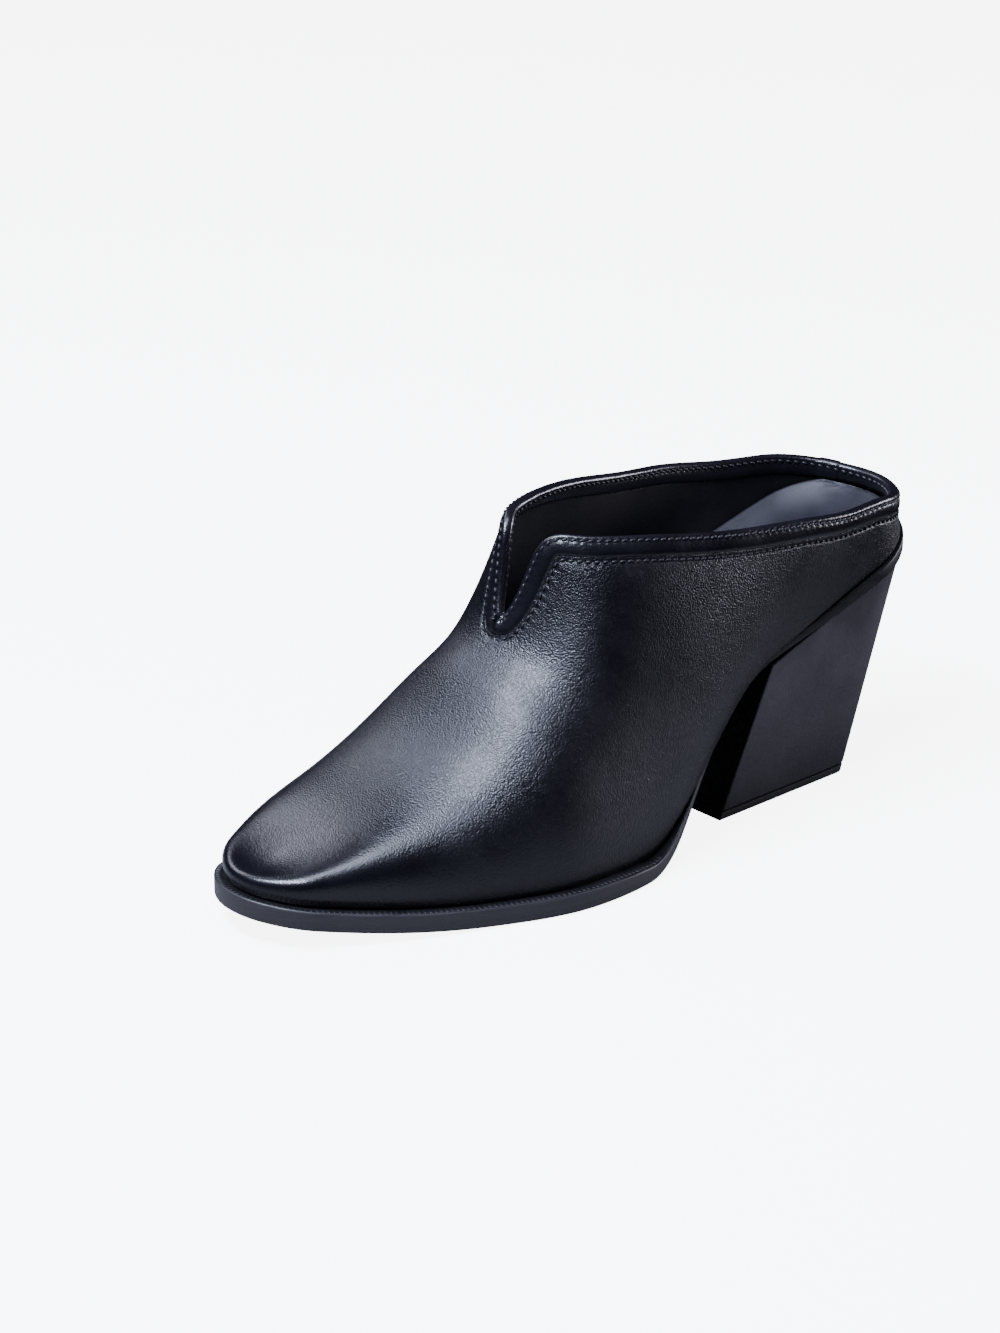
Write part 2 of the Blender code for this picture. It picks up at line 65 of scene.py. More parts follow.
# Leather, sole and heel.
UPPER_WALL = 0.0020
SOLE_THICKNESS = 0.0060
SOLE_LEDGE = 0.0033
INSOLE_HEEL = 0.0055
INSOLE_FORE = 0.0030
INSOLE_EDGE_ROUND = 0.0010
HEEL_FOOT_LENGTH = 0.0560
HEEL_FOOT_WIDTH = 0.0500
HEEL_FOOT_TAPER = 0.0030
HEEL_FOOT_SETBACK = 0.0325
HEEL_CORNER = 0.0035
HEEL_INSET = 0.0010
SEAT_LEDGE = 0.0007
LIFT_THICKNESS = 0.0022
CLEARANCE = 0.0003

# Places along the last, as shares of its length from the heel end.
BREAST_AT = 0.290
TREAD_BACK_AT = 0.550
TREAD_FRONT_AT = 0.700
BALL_AT = 0.620
THROAT_AT = 0.640

# The round ends of the feather outline.
TOE_CAP_LENGTH = 0.0120
TOE_CAP_POWER = 2.3
HEEL_CAP_LENGTH = 0.0255
HEEL_CAP_POWER = 2.0

# The throat notch in front view: its reach to the outer and the inner side at a height above its
# bottom, how square its bottom is, and its blend into the collar.
NOTCH_OUTER = 0.0120
NOTCH_INNER = 0.0100
NOTCH_HEIGHT = 0.0212
NOTCH_POWER = 3.45
NOTCH_BLEND = 0.0040
NOTCH_BACK_AT = 0.530
NOTCH_BACK_SLOPE = 4.0

# How near the middle the collar's outer and inner heights start to run together.
COLLAR_MEETS_WITHIN = 0.0150

# The insole's raised rim is whole behind CUP_WHOLE_AT and gone in front of CUP_GONE_AT.
CUP_WHOLE_AT = 0.21
CUP_GONE_AT = 0.42

# Resolution of the last.
RIB_SAMPLES = 241
SPACING_SAMPLES = 1201
CROWN_STEP = 0.004
OUTLINE_STEP = 0.0001

# How much closer the ribs stand near the throat, and over what share of the length.
NEAR_THROAT = 1.5
NEAR_THROAT_REACH = 0.09

# Feather outline: "outer" and "inner" are shares of the ball width from the heel's centre line.
OUTLINE_COLUMNS = ("along", "outer", "inner")
OUTLINE = (
    (0.00, 0.306, -0.306),
    (0.12, 0.319, -0.319),
    (0.24, 0.335, -0.331),
    (0.36, 0.372, -0.338),
    (0.45, 0.431, -0.356),
    (0.53, 0.491, -0.400),
    (0.60, 0.525, -0.450),
    (0.67, 0.524, -0.485),
    (0.74, 0.463, -0.498),
    (0.81, 0.388, -0.478),
    (0.88, 0.294, -0.419),
    (0.94, 0.198, -0.331),
    (1.00, 0.096, -0.219),
)

# Ribs: where each rib's crown stands, as a share of the last's length, its height above the
# pitch line as a share of the instep height, its sideways place as a share of the ball width,
# and how early the rib leans over to the crown's place (1 is evenly).
CROWN_COLUMNS = ("along", "crown_along", "height", "side", "lean")
CROWN = (
    (0.00, 0.114, 0.640, 0.000, 1.0),
    (0.12, 0.184, 0.860, 0.000, 1.0),
    (0.24, 0.306, 0.990, 0.000, 1.0),
    (0.36, 0.465, 1.060, 0.000, 1.3),
    (0.45, 0.580, 1.030, 0.000, 1.7),
    (0.53, 0.608, 0.900, 0.000, 2.0),
    (0.60, 0.635, 0.710, 0.000, 1.8),
    (0.67, 0.680, 0.600, -0.012, 1.3),
    (0.74, 0.733, 0.470, -0.028, 1.0),
    (0.81, 0.793, 0.365, -0.040, 1.0),
    (0.88, 0.854, 0.300, -0.050, 1.0),
    (0.94, 0.901, 0.252, -0.060, 1.0),
    (1.00, 0.944, 0.212, -0.062, 1.0),
)

# Section of a rib: how far out it reaches at RIB_RISES of its height, as shares of the way from
# the crown to the feather line in plan.
RIB_RISES = (0.0, 0.15, 0.45, 0.80, 1.0, 1.0)
SECTION_COLUMNS = ("along", "low", "middle", "high", "top")
SECTION = (
    (0.00, 0.94, 0.84, 0.74, 0.50),
    (0.12, 1.05, 1.10, 0.98, 0.60),
    (0.24, 1.10, 1.25, 1.10, 0.65),
    (0.36, 1.10, 1.20, 1.05, 0.62),
    (0.45, 1.07, 1.11, 0.97, 0.58),
    (0.53, 1.05, 1.01, 0.86, 0.50),
    (0.60, 1.04, 0.99, 0.82, 0.45),
    (0.67, 1.04, 1.00, 0.80, 0.42),
    (0.74, 1.04, 1.02, 0.82, 0.44),
    (0.81, 1.04, 1.03, 0.86, 0.48),
    (0.88, 1.04, 1.05, 0.92, 0.54),
    (0.94, 1.04, 1.07, 0.96, 0.58),
    (1.00, 1.04, 1.08, 0.97, 0.58),
)

# Topline: the seam under the binding, above the pitch line as a share of the instep height.
COLLAR_COLUMNS = ("along", "outer", "inner")
COLLAR = (
    (0.00, 0.107, 0.107),
    (0.06, 0.240, 0.253),
    (0.10, 0.332, 0.338),
    (0.17, 0.461, 0.467),
    (0.26, 0.619, 0.630),
    (0.33, 0.716, 0.735),
    (0.43, 0.832, 0.869),
    (0.52, 0.911, 0.941),
    (0.60, 0.941, 0.948),
    (0.70, 0.945, 0.935),
)

# Sole: thickness as a share of SOLE_THICKNESS and the ledge outside the feather line as a share
# of SOLE_LEDGE.
SOLE_COLUMNS = ("along", "thickness", "ledge")
SOLE = (
    (0.00, 0.75, 0.20),
    (0.12, 0.68, 0.40),
    (0.29, 0.45, -0.40),
    (0.42, 0.50, -0.20),
    (0.50, 0.70, 0.90),
    (0.57, 0.90, 1.30),
    (0.66, 1.00, 1.10),
    (0.80, 1.00, 1.05),
    (1.00, 1.00, 1.00),
)

# Resolution of what shows.
SKIN_RIBS = 340
SKIN_ROWS = 56
FINE_ROWS = 20
FINE_STEP = 0.00036
LINING_RIBS = 110
LINING_ROWS = 24
LINING_FINE_ROWS = 6
TAPE_STEP = 0.0005
TAPE_SIDES = 36
SOCK_RIBS = 130
SOCK_COLUMNS = 36
SOLE_RIBS = 260
ARRIS_STEPS = 5
LEDGE_SAMPLES = 400
HEEL_LEVELS = 14
HEEL_SHOWN_POINTS = 121
CREASE_SAMPLES = 40
POINTS_AT_ONCE = 1500

# Doubles nearer than this merge, and edges sharper than this angle stay hard.
MERGE_WITHIN = 0.000002
SOCK_MERGE_WITHIN = 0.00001
SHARP_ANGLE = 40.0
TAPE_SHARP_ANGLE = 60.0

# How often the topline's points and frames are evened out, and how wide the V's bottom is rounded.
LOOP_PASSES = 6
ROUND_PASSES = 40
ROUNDED_WITHIN = 0.009
FRAME_PASSES = 60

# The seam's stitch row below the tape, and how the leather sinks and gathers at it.
SEAM_BELOW = 0.0015
SEAM_GROOVE = 0.00032
SEAM_GROOVE_WIDTH = 0.00050
GATHER_DEPTH = 0.00028
GATHER_REACH = 0.0019
GATHER_FROM = 0.0012
LEATHER_WOBBLE = 0.00004

# The lining stands this far inside the leather and this far short of the wall's inner face.
LINING_GAP = 0.00005
LINING_SHORT = 0.0001

# The folded tape: its lap over the cut edge, its stitch row as a share of its height, the dent
# of the thread between and at the holes, its slow swell, and its join at the back.
TAPE_LAP = 0.0004
TAPE_ROW_AT = 0.24
TAPE_DENT_WIDTH = 0.00055
TAPE_DENT = 0.00015
TAPE_HOLE_DENT = 0.00030
TAPE_SWELL = 0.00010
TAPE_JOIN_AT = 0.535
TAPE_JOIN_LONG = 0.016
TAPE_JOIN_RISE = 0.00025

# How deep the stitch rows sit in the tape and in the seam, and how far they lean, in radians.
TAPE_STITCH_SUNK = 0.00022
SEAM_STITCH_SUNK = 0.00010
TAPE_SLANT = 0.30
SEAM_SLANT = 0.16

# The sock's slope and cup, its reach over the seam, its clear way to the wall and its worn edge.
SOCK_SLOPE = 0.0125
SOCK_CUP = 0.0053
SOCK_OVER_SEAM = 0.0016
SOCK_CLEAR = 0.0007
SOCK_EDGE_DROP = 0.0006
SOCK_EDGE_WIDTH = 0.0009

# The sole's rounded edge, how many of its radii the flat faces start inside it, and the wheeled
# marks: where they start, their place across the ledge and their size.
SOLE_ARRIS = 0.0007
SOLE_FLAT_FROM = 1.6
WHEELED_FROM = 0.53
WHEELED_ACROSS = 0.62
WHEEL_MARK = {"long": 0.0007, "wide": 0.0020, "high": 0.00045}

# Rounding of the heel's and the lift's edges, and the angle from which an edge is rounded.
HEEL_ARRIS = 0.0006
LIFT_ARRIS = 0.0003
ARRIS_ANGLE = 35.0

# Where along the topline, from the bottom of the V round the outer side, the leather gathers.
GATHER_COLUMNS = ("walked", "amount")
GATHER = (
    (0.000, 0.6),
    (0.012, 1.0),
    (0.030, 1.5),
    (0.045, 1.2),
    (0.065, 0.5),
    (0.200, 0.3),
    (0.360, 0.4),
    (0.420, 0.6),
)

# Soft creases of the vamp: the rib and the share up it where each starts and ends, its width
# and its depth. "side" is +1 outer, -1 inner.
CREASE_COLUMNS = ("side", "along_from", "up_from", "along_to", "up_to", "width", "depth")
CREASES = (
    (1, 0.470, 0.30, 0.330, 0.46, 0.0060, 0.00012),
)
CREASE_RIDGE = 0.45

# The stitch tree's sizes, each with its first value, and the hide grain's pores.
STITCH_SIZES = {"Pitch": 0.0024, "Long": 0.0017, "Wide": 0.0006, "High": 0.0005, "Slant": 0.2}
PORES = 0.3

# The toe is smoother than the rest between these two places, given as y.
TOE_SMOOTH = (-0.105, -0.062)

# Where the photograph was taken from.
CAMERA_PLACE = (0.7672, -0.6866, 0.4566)
CAMERA_AZIMUTH = 49.5
CAMERA_ELEVATION = 21.5
CAMERA_LENS = 136.8
SENSOR_WIDTH = 36.0

# Soft boxes: each one's place, the point it faces, its two sides, power and colour.
LIGHT_COLUMNS = ("name", "place", "aim", "wide", "deep", "power", "colour")
LIGHTS = (
    ("soft_front", (-0.04, -0.56, 1.00), (0.0, -0.03, 0.05), 0.72, 0.22, 38.0, (0.72, 0.79, 1.0)),
    ("soft_top", (0.10, -0.12, 1.25), (0.0, -0.03, 0.03), 0.55, 0.34, 9.0, (0.76, 0.82, 1.0)),
    ("soft_inner", (-1.00, -0.10, 0.80), (0.0, -0.05, 0.04), 0.50, 0.36, 4.5, (0.80, 0.84, 1.0)),
    ("soft_back", (0.32, 1.25, 0.17), (0.02, 0.08, 0.05), 0.50, 0.26, 11.0, (0.88, 0.84, 1.0)),
)

# The floor: its glow to the camera, half its width, and where its light on the shoe fades.
FLOOR_GLOW = 6.5
FLOOR_SIZE = 6.0
FLOOR_FADE = (0.11, 0.26)


class Curves:
    """Smooth curves through the columns of a table, all against its first column."""

    def __init__(self, columns, rows):
        values = np.array(rows, float)
        self.at = values[:, 0]
        self.columns = {name: values[:, i] for i, name in enumerate(columns)}
        self.bends = {name: self.bend(column) for name, column in self.columns.items()}

    def bend(self, column):
        """Second derivatives of the natural cubic spline through one column."""
        step = np.diff(self.at)
        size = len(self.at)
        matrix = np.eye(size)
        right = np.zeros(size)
        for i in range(1, size - 1):
            matrix[i, i - 1 : i + 2] = step[i - 1], 2 * (step[i - 1] + step[i]), step[i]
            rise = (column[i + 1] - column[i]) / step[i]
            right[i] = 6 * (rise - (column[i] - column[i - 1]) / step[i - 1])
        return np.linalg.solve(matrix, right)

    def read(self, name, at):
        """One column's curve at these places."""
        at = np.clip(np.asarray(at, float), self.at[0], self.at[-1])
        i = np.clip(np.searchsorted(self.at, at) - 1, 0, len(self.at) - 2)
        step = self.at[i + 1] - self.at[i]
        before = (self.at[i + 1] - at) / step
        after = (at - self.at[i]) / step
        column = self.columns[name]
        bend = self.bends[name]
        curve = (before**3 - before) * bend[i] + (after**3 - after) * bend[i + 1]
        return before * column[i] + after * column[i + 1] + curve * step**2 / 6


OUTLINE_CURVES = Curves(OUTLINE_COLUMNS, OUTLINE)
CROWN_CURVES = Curves(CROWN_COLUMNS, CROWN)
SECTION_CURVES = Curves(SECTION_COLUMNS, SECTION)
COLLAR_CURVES = Curves(COLLAR_COLUMNS, COLLAR)
SOLE_CURVES = Curves(SOLE_COLUMNS, SOLE)
GATHER_CURVES = Curves(GATHER_COLUMNS, GATHER)


def y_of(along):
    """The place of a share of the last's length, with the heel end at +Y."""
    return LAST_LENGTH * (0.5 - np.asarray(along, float))


def along_of(y):
    """The share of the last's length at a place."""
    return 0.5 - np.asarray(y, float) / LAST_LENGTH


def pitch(along):
    """The line that the heel lifts: nothing at the ball, HEEL_RISE at the heel end."""
    return HEEL_RISE * np.clip((BALL_AT - along) / BALL_AT, 0, None) ** 2


def sole_bottom(along):
    """Height of the outsole's underside: heel seat, shank, tread and toe spring."""
    along = np.asarray(along, float)
    slope = SEAT_DROP / (BREAST_AT * LAST_LENGTH)
    seat = HEEL_RISE + CLEARANCE - SEAT_DROP * along / BREAST_AT
    breast = HEEL_RISE + CLEARANCE - SEAT_DROP
    run = (TREAD_BACK_AT - BREAST_AT) * LAST_LENGTH
    t = np.clip((TREAD_BACK_AT - along) / (TREAD_BACK_AT - BREAST_AT), 0, 1)
    shank = breast * (3 * t**2 - 2 * t**3) + slope * run * (t**3 - t**2)
    lift = np.clip((along - TREAD_FRONT_AT) / (1 - TREAD_FRONT_AT), 0, None)
    return np.where(along < BREAST_AT, seat, shank) + TOE_SPRING * lift**2


def sole_top(along):
    """Height of the outsole's upper face."""
    return sole_bottom(along) + SOLE_THICKNESS * SOLE_CURVES.read("thickness", along)


def end_factor(depth, length, power):
    """How much of its width an outline keeps near a round end, at this depth behind it."""
    share = np.clip(1 - depth / length, 0, 1)
    return (1 - share**power) ** (1 / power)


def feather(along, side):
    """Plan x of the feather line on one side, "outer" or "inner"."""
    outer = BALL_WIDTH * OUTLINE_CURVES.read("outer", along)
    inner = BALL_WIDTH * OUTLINE_CURVES.read("inner", along)
    middle = (outer + inner) / 2
    half = (outer - inner) / 2
    half = half * end_factor((1 - along) * LAST_LENGTH, TOE_CAP_LENGTH, TOE_CAP_POWER)
    half = half * end_factor(along * LAST_LENGTH, HEEL_CAP_LENGTH, HEEL_CAP_POWER)
    return middle + (half if side == "outer" else -half)


def basis(count, t):
    """Clamped cubic B-spline weights of count control points at each t from 0 to 1."""
    degree = 3
    inner = np.linspace(0, 1, count - degree + 1)
    knots = np.concatenate([np.zeros(degree), inner, np.ones(degree)])
    t = np.clip(np.asarray(t, float), 0, 1 - 1e-9)[..., None]
    weights = ((t >= knots[:-1]) & (t < knots[1:])).astype(float)
    for d in range(1, degree + 1):
        size = len(knots) - d - 1
        left = knots[d : d + size] - knots[:size]
        right = knots[d + 1 : d + 1 + size] - knots[1 : 1 + size]
        rising = np.where(left > 0, (t - knots[:size]) / np.where(left > 0, left, 1), 0)
        falling = (knots[d + 1 : d + 1 + size] - t) / np.where(right > 0, right, 1)
        falling = np.where(right > 0, falling, 0)
        weights = weights[..., :size] * rising + weights[..., 1 : size + 1] * falling
    return weights


def crown_line(along):
    """Place along the last and height of the crown over ribs that start at these shares."""
    crown_along = CROWN_CURVES.read("crown_along", along)
    return crown_along, pitch(crown_along) + INSTEP_HEIGHT * CROWN_CURVES.read("height", along)


def rib_points(along, side, t):
    """Points of the ribs that start at these shares of the length, at each t up the rib."""
    along = np.asarray(along, float)[:, None]
    t = np.asarray(t, float)
    reach = [np.ones_like(along)]
    for name in SECTION_COLUMNS[1:]:
        reach.append(SECTION_CURVES.read(name, along))
    reach = np.concatenate(reach + [np.zeros_like(along)], axis=1)
    weights = basis(len(RIB_RISES), t)
    if weights.ndim == 2:
        weights = np.broadcast_to(weights, (len(along),) + weights.shape)
    out = np.einsum("rtc,rc->rt", weights, reach)
    crown_x = BALL_WIDTH * CROWN_CURVES.read("side", along)
    crown_along, crown_z = crown_line(along)
    foot_x = feather(along, side)
    foot_z = sole_top(along) + CLEARANCE
    lean = CROWN_CURVES.read("lean", along)
    near = crown_line(along - CROWN_STEP)
    far = crown_line(along + CROWN_STEP)
    slope = (far[1] - near[1]) / (far[0] - near[0])
    dip = slope * (along - crown_along) * reach[:, 4:5] ** lean / (crown_z - foot_z)
    dip = dip * np.clip(2 - lean, 0, 1)
    rises = np.tile(RIB_RISES, (len(along), 1))
    rises[:, 4:5] += dip
    rise = np.einsum("rtc,rc->rt", weights, rises)
    x = crown_x + (foot_x - crown_x) * out
    y = y_of(crown_along) + (y_of(along) - y_of(crown_along)) * np.abs(out) ** lean
    z = foot_z + (crown_z - foot_z) * rise
    return np.stack([x, y, z], axis=-1)


def throat_bottom():
    """Height of the crown line where the throat notch starts."""
    crown_along, height = crown_line(np.linspace(TREAD_BACK_AT, TREAD_FRONT_AT, RIB_SAMPLES))
    return float(np.interp(THROAT_AT, crown_along, height))


def cut_height(points):
    """Height above which the skin is cut away: the throat notch blended with the collar."""
    across = np.abs(points[..., 0])
    along = along_of(points[..., 1])
    half = np.where(points[..., 0] > 0, NOTCH_OUTER, NOTCH_INNER)
    notch = throat_bottom() + NOTCH_HEIGHT * (across / half) ** NOTCH_POWER
    notch = notch + NOTCH_BACK_SLOPE * LAST_LENGTH * np.clip(NOTCH_BACK_AT - along, 0, None)
    outer = COLLAR_CURVES.read("outer", along)
    inner = COLLAR_CURVES.read("inner", along)
    outwards = np.clip(points[..., 0] / COLLAR_MEETS_WITHIN, -1, 1)
    share = (outer + inner) / 2 + (outer - inner) / 2 * outwards
    collar = pitch(along) + INSTEP_HEIGHT * share
    low = np.minimum(notch, collar)
    high = np.maximum(notch, collar)
    return low - NOTCH_BLEND * np.log1p(np.exp((low - high) / NOTCH_BLEND))


def rib_ends(along, side):
    """How far up each rib the skin goes: 1 where it reaches the crown."""
    t = np.linspace(0, 1, RIB_SAMPLES)
    points = rib_points(along, side, t)
    over = points[..., 2] - cut_height(points)
    ends = np.ones(len(along))
    for i, row in enumerate(over):
        above = np.nonzero(row > 0)[0]
        if len(above):
            k = max(above[0], 1)
            ends[i] = t[k - 1] + (t[k] - t[k - 1]) * row[k - 1] / (row[k - 1] - row[k])
    return ends


def toe_to_heel(count):
    """Shares of the length from the toe to the heel, closer together at both ends."""
    return 0.5 + 0.5 * np.cos(np.linspace(0, math.pi, count))


def read_path(at, walked, path):
    """Points of a path at these ways along it."""
    return np.stack([np.interp(at, walked, column) for column in path.T], axis=1)


def way_along(path):
    """The way walked from a path's start to each of its points."""
    return np.concatenate([[0], np.cumsum(np.linalg.norm(np.diff(path, axis=0), axis=1))])


def spaced(count):
    """Feet of the ribs from the toe to the heel, evenly along both the feather and the topline."""
    along = toe_to_heel(SPACING_SAMPLES)
    feet = np.stack([feather(along, "outer"), y_of(along)], axis=1)
    ends = rib_ends(along, "outer")
    tops = rib_points(along, "outer", ends[:, None])[:, 0]
    near_throat = np.exp(-(((along_of(tops[1:, 1]) - THROAT_AT) / NEAR_THROAT_REACH) ** 2))
    walk = np.linalg.norm(np.diff(feet, axis=0), axis=1)
    walk = walk + (1 + NEAR_THROAT * near_throat) * np.linalg.norm(np.diff(tops, axis=0), axis=1)
    walked = np.concatenate([[0], np.cumsum(walk)])
    cut_from = np.nonzero(ends < 1)[0][0]
    split = walked[cut_from] / walked[-1]
    front = max(2, round(split * count))
    shares = np.concatenate(
        [
            np.linspace(0, walked[cut_from - 1], front, endpoint=False),
            np.linspace(walked[cut_from - 1], walked[-1], count - front + 1),
        ]
    )
    return np.interp(shares, walked, along), front


def unit(vectors):
    """Vectors of the same direction and length one."""
    return vectors / np.linalg.norm(vectors, axis=-1, keepdims=True)


def grid_faces(rows, columns, start=0, wrap=False):
    """Quads between neighbouring rows of a grid of points, closed round each row when wrapped."""
    faces = []
    for r in range(rows - 1):
        for c in range(columns if wrap else columns - 1):
            d = (c + 1) % columns
            a, b = start + r * columns, start + (r + 1) * columns
            faces.append((a + c, a + d, b + d, b + c))
    return faces


def offset_outline(along, side, distance):
    """Plan points at a distance outside the feather line, square to it."""
    low = np.clip(along - OUTLINE_STEP, 0, 1)
    high = np.clip(along + OUTLINE_STEP, 0, 1)
    dx = feather(high, side) - feather(low, side)
    dy = y_of(high) - y_of(low)
    length = np.hypot(dx, dy)
    sign = 1 if side == "outer" else -1
    nx, ny = -dy / length * sign, dx / length * sign
    return np.stack([feather(along, side) + nx * distance, y_of(along) + ny * distance], axis=1)


def insole_ring(along, side, level, inset, height):
    """Points this far inside the wall's face at one level, set at a height above the sole."""
    points = rib_points(along, side, np.linspace(0, 1, RIB_SAMPLES))
    at = sole_top(along) + CLEARANCE + level
    place = np.zeros((len(along), 3))
    for i in range(len(along)):
        place[i] = [np.interp(at[i], points[i, :, 2], points[i, :, k]) for k in range(3)]
    ahead = np.gradient(place[:, :2], axis=0)
    if side == "inner":
        ahead = -ahead
    ahead[0] = (1.0, 0.0)
    ahead[-1] = (-1.0, 0.0)
    ahead = unit(ahead)
    normal = np.stack([ahead[:, 1], -ahead[:, 0]], axis=1)
    place[:, :2] -= normal * (UPPER_WALL + 2 * CLEARANCE + inset)[:, None]
    place[:, 2] = sole_top(along_of(place[:, 1])) + CLEARANCE + height
    return place


def block_outlines(count):
    """Plan of the heel's foot and of its top under the seat, point for point."""
    seat = BREAST_AT * 0.5 * (1 - np.cos(np.linspace(0, math.pi, RIB_SAMPLES)))
    ledge = np.maximum(SOLE_LEDGE * SOLE_CURVES.read("ledge", seat), SEAT_LEDGE) - HEEL_INSET
    outer = offset_outline(seat, "outer", ledge)
    inner = offset_outline(seat, "inner", ledge)
    top = np.concatenate([outer[::-1], inner[1:]])
    back_y = y_of(0) - HEEL_FOOT_SETBACK
    half = HEEL_FOOT_WIDTH / 2
    back_half = half - HEEL_FOOT_TAPER
    front_y = back_y - HEEL_FOOT_LENGTH
    corner = []
    for k in range(9):
        turn = math.pi / 2 * k / 8
        corner.append(
            (
                back_half - HEEL_CORNER + HEEL_CORNER * math.cos(turn),
                back_y - HEEL_CORNER + HEEL_CORNER * math.sin(turn),
            )
        )
    right = [(half, front_y)] + corner + [(0.0, back_y)]
    foot = np.array(right + [(-x, y) for x, y in right[-2::-1]])
    top[0, 1] = top[-1, 1] = y_of(BREAST_AT)

    def evenly(path):
        walked = way_along(path)
        return read_path(np.linspace(0, walked[-1], count), walked, path)

    return evenly(foot), evenly(top)


def plan_shift():
    """How far the last moves so that the sole's box is centred on the origin."""
    along = toe_to_heel(SPACING_SAMPLES)
    ledge = SOLE_LEDGE * SOLE_CURVES.read("ledge", along)
    sides = [offset_outline(along, side, ledge) for side in ("outer", "inner")]
    ring = np.concatenate(sides)
    return -(ring.min(axis=0) + ring.max(axis=0)) / 2


SHIFT = np.append(plan_shift(), 0.0)


def link(name, data):
    """Adds an object with this data to the scene."""
    obj = bpy.data.objects.new(name, data)
    bpy.context.scene.collection.objects.link(obj)
    return obj


def add_mesh(name, verts, faces, merge=MERGE_WITHIN, sharp=SHARP_ANGLE):
    """Mesh object with its doubles merged, its faces outwards and its place in its mesh."""
    mesh = bpy.data.meshes.new(name)
    placed = np.asarray(verts, float) + SHIFT
    mesh.from_pydata(placed.tolist(), [], faces)
    work = bmesh.new()
    work.from_mesh(mesh)
    bmesh.ops.remove_doubles(work, verts=work.verts, dist=merge)
    bmesh.ops.dissolve_degenerate(work, edges=work.edges, dist=merge / 2)
    bmesh.ops.recalc_face_normals(work, faces=work.faces)
    work.to_mesh(mesh)
    work.free()
    obj = link(name, mesh)
    mesh.shade_smooth()
    mesh.set_sharp_from_angle(angle=math.radians(sharp))
    return obj


def finish_piece(obj, slot, *nodes):
    """Hangs the piece on the root body and hides the solids it stands for. The slot is not used."""
    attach(obj, "root")
    if nodes:
        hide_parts(*nodes)


def faces_inward(mesh):
    """Whether an open skin's faces look at its own middle."""
    centres = np.array([face.center for face in mesh.polygons])
    normals = np.array([face.normal for face in mesh.polygons])
    areas = np.array([face.area for face in mesh.polygons])
    axis = np.column_stack([np.zeros(len(centres)), centres[:, 1], centres[:, 2]])
    return float((normals * (centres - axis)).sum(axis=1) @ areas) < 0


def skin_sheet(name, ribs, rows, fine_rows):
    """Open sheet of the upper's outer face, its rows close together under the topline."""
    along, front = spaced(ribs)
    verts = []
    faces = []
    for side in ("outer", "inner"):
        ends = rib_ends(along, side)
        ends[: front + 1] = 1
        path = rib_points(along, side, ends[:, None] * np.linspace(0, 1, RIB_SAMPLES))
        walk = np.linalg.norm(np.diff(path, axis=1), axis=2)
        walked = np.concatenate([np.zeros((ribs + 1, 1)), np.cumsum(walk, axis=1)], axis=1)
        faces += grid_faces(ribs + 1, rows + 1, len(verts))
        for rib, way in zip(path, walked):
            step = min(FINE_STEP, way[-1] / (2 * rows))
            fine = step * np.arange(fine_rows + 1)
            rest = np.linspace(step * fine_rows, way[-1], rows - fine_rows + 1)[1:]
            at = way[-1] - np.concatenate([fine, rest])[::-1]
            verts += list(read_path(at, way, rib))
    obj = add_mesh(name, verts, faces)
    if faces_inward(obj.data):
        obj.data.flip_normals()
    return obj


def read_points(mesh):
    """Places and normals of a mesh's points, as arrays in the last's own place."""
    places = np.empty(len(mesh.vertices) * 3)
    normals = np.empty(len(mesh.vertices) * 3)
    mesh.vertices.foreach_get("co", places)
    mesh.vertex_normals.foreach_get("vector", normals)
    return places.reshape(-1, 3) - SHIFT, normals.reshape(-1, 3)


def move_points(mesh, places, normals, distance):
    """Moves each point out along its normal."""
    moved = places + SHIFT + normals * distance[:, None]
    mesh.vertices.foreach_set("co", moved.ravel())
    mesh.update()


def nearest(points, path):
    """Distance from each point to the nearest point of a path, and that point's number."""
    distance = np.empty(len(points))
    number = np.empty(len(points), int)
    for i in range(0, len(points), POINTS_AT_ONCE):
        part = slice(i, i + POINTS_AT_ONCE)
        gaps = points[part, None, :] - path[None, :, :]
        squares = (gaps**2).sum(axis=2)
        number[part] = squares.argmin(axis=1)
        distance[part] = np.sqrt(squares.min(axis=1))
    return distance, number


def topline(ribs):
    """Closed loop of the cut edge with its frames: points, up the wall, and out of the wall."""
    along, front = spaced(ribs)
    edge = {}
    climb = {}
    for side in ("outer", "inner"):
        ends = rib_ends(along[front:], side)
        ends[0] = 1
        pairs = rib_points(along[front:], side, np.stack([ends - CROWN_STEP, ends], axis=1))
        edge[side] = pairs[:, 1]
        climb[side] = unit(pairs[:, 1] - pairs[:, 0])
    crown = rib_points(along[front] + np.array([CROWN_STEP, -CROWN_STEP]), "outer", [1.0])[:, 0]
    climb["outer"][0] = unit(crown[1] - crown[0])
    loop = np.concatenate([edge["outer"], edge["inner"][-2:0:-1]])
    up = np.concatenate([climb["outer"], climb["inner"][-2:0:-1]])
    return loop, up


def smoothed(rows, passes):
    """Evens out a closed loop of rows."""
    for _ in range(passes):
        rows = (np.roll(rows, 1, axis=0) + 2 * rows + np.roll(rows, -1, axis=0)) / 4
    return rows


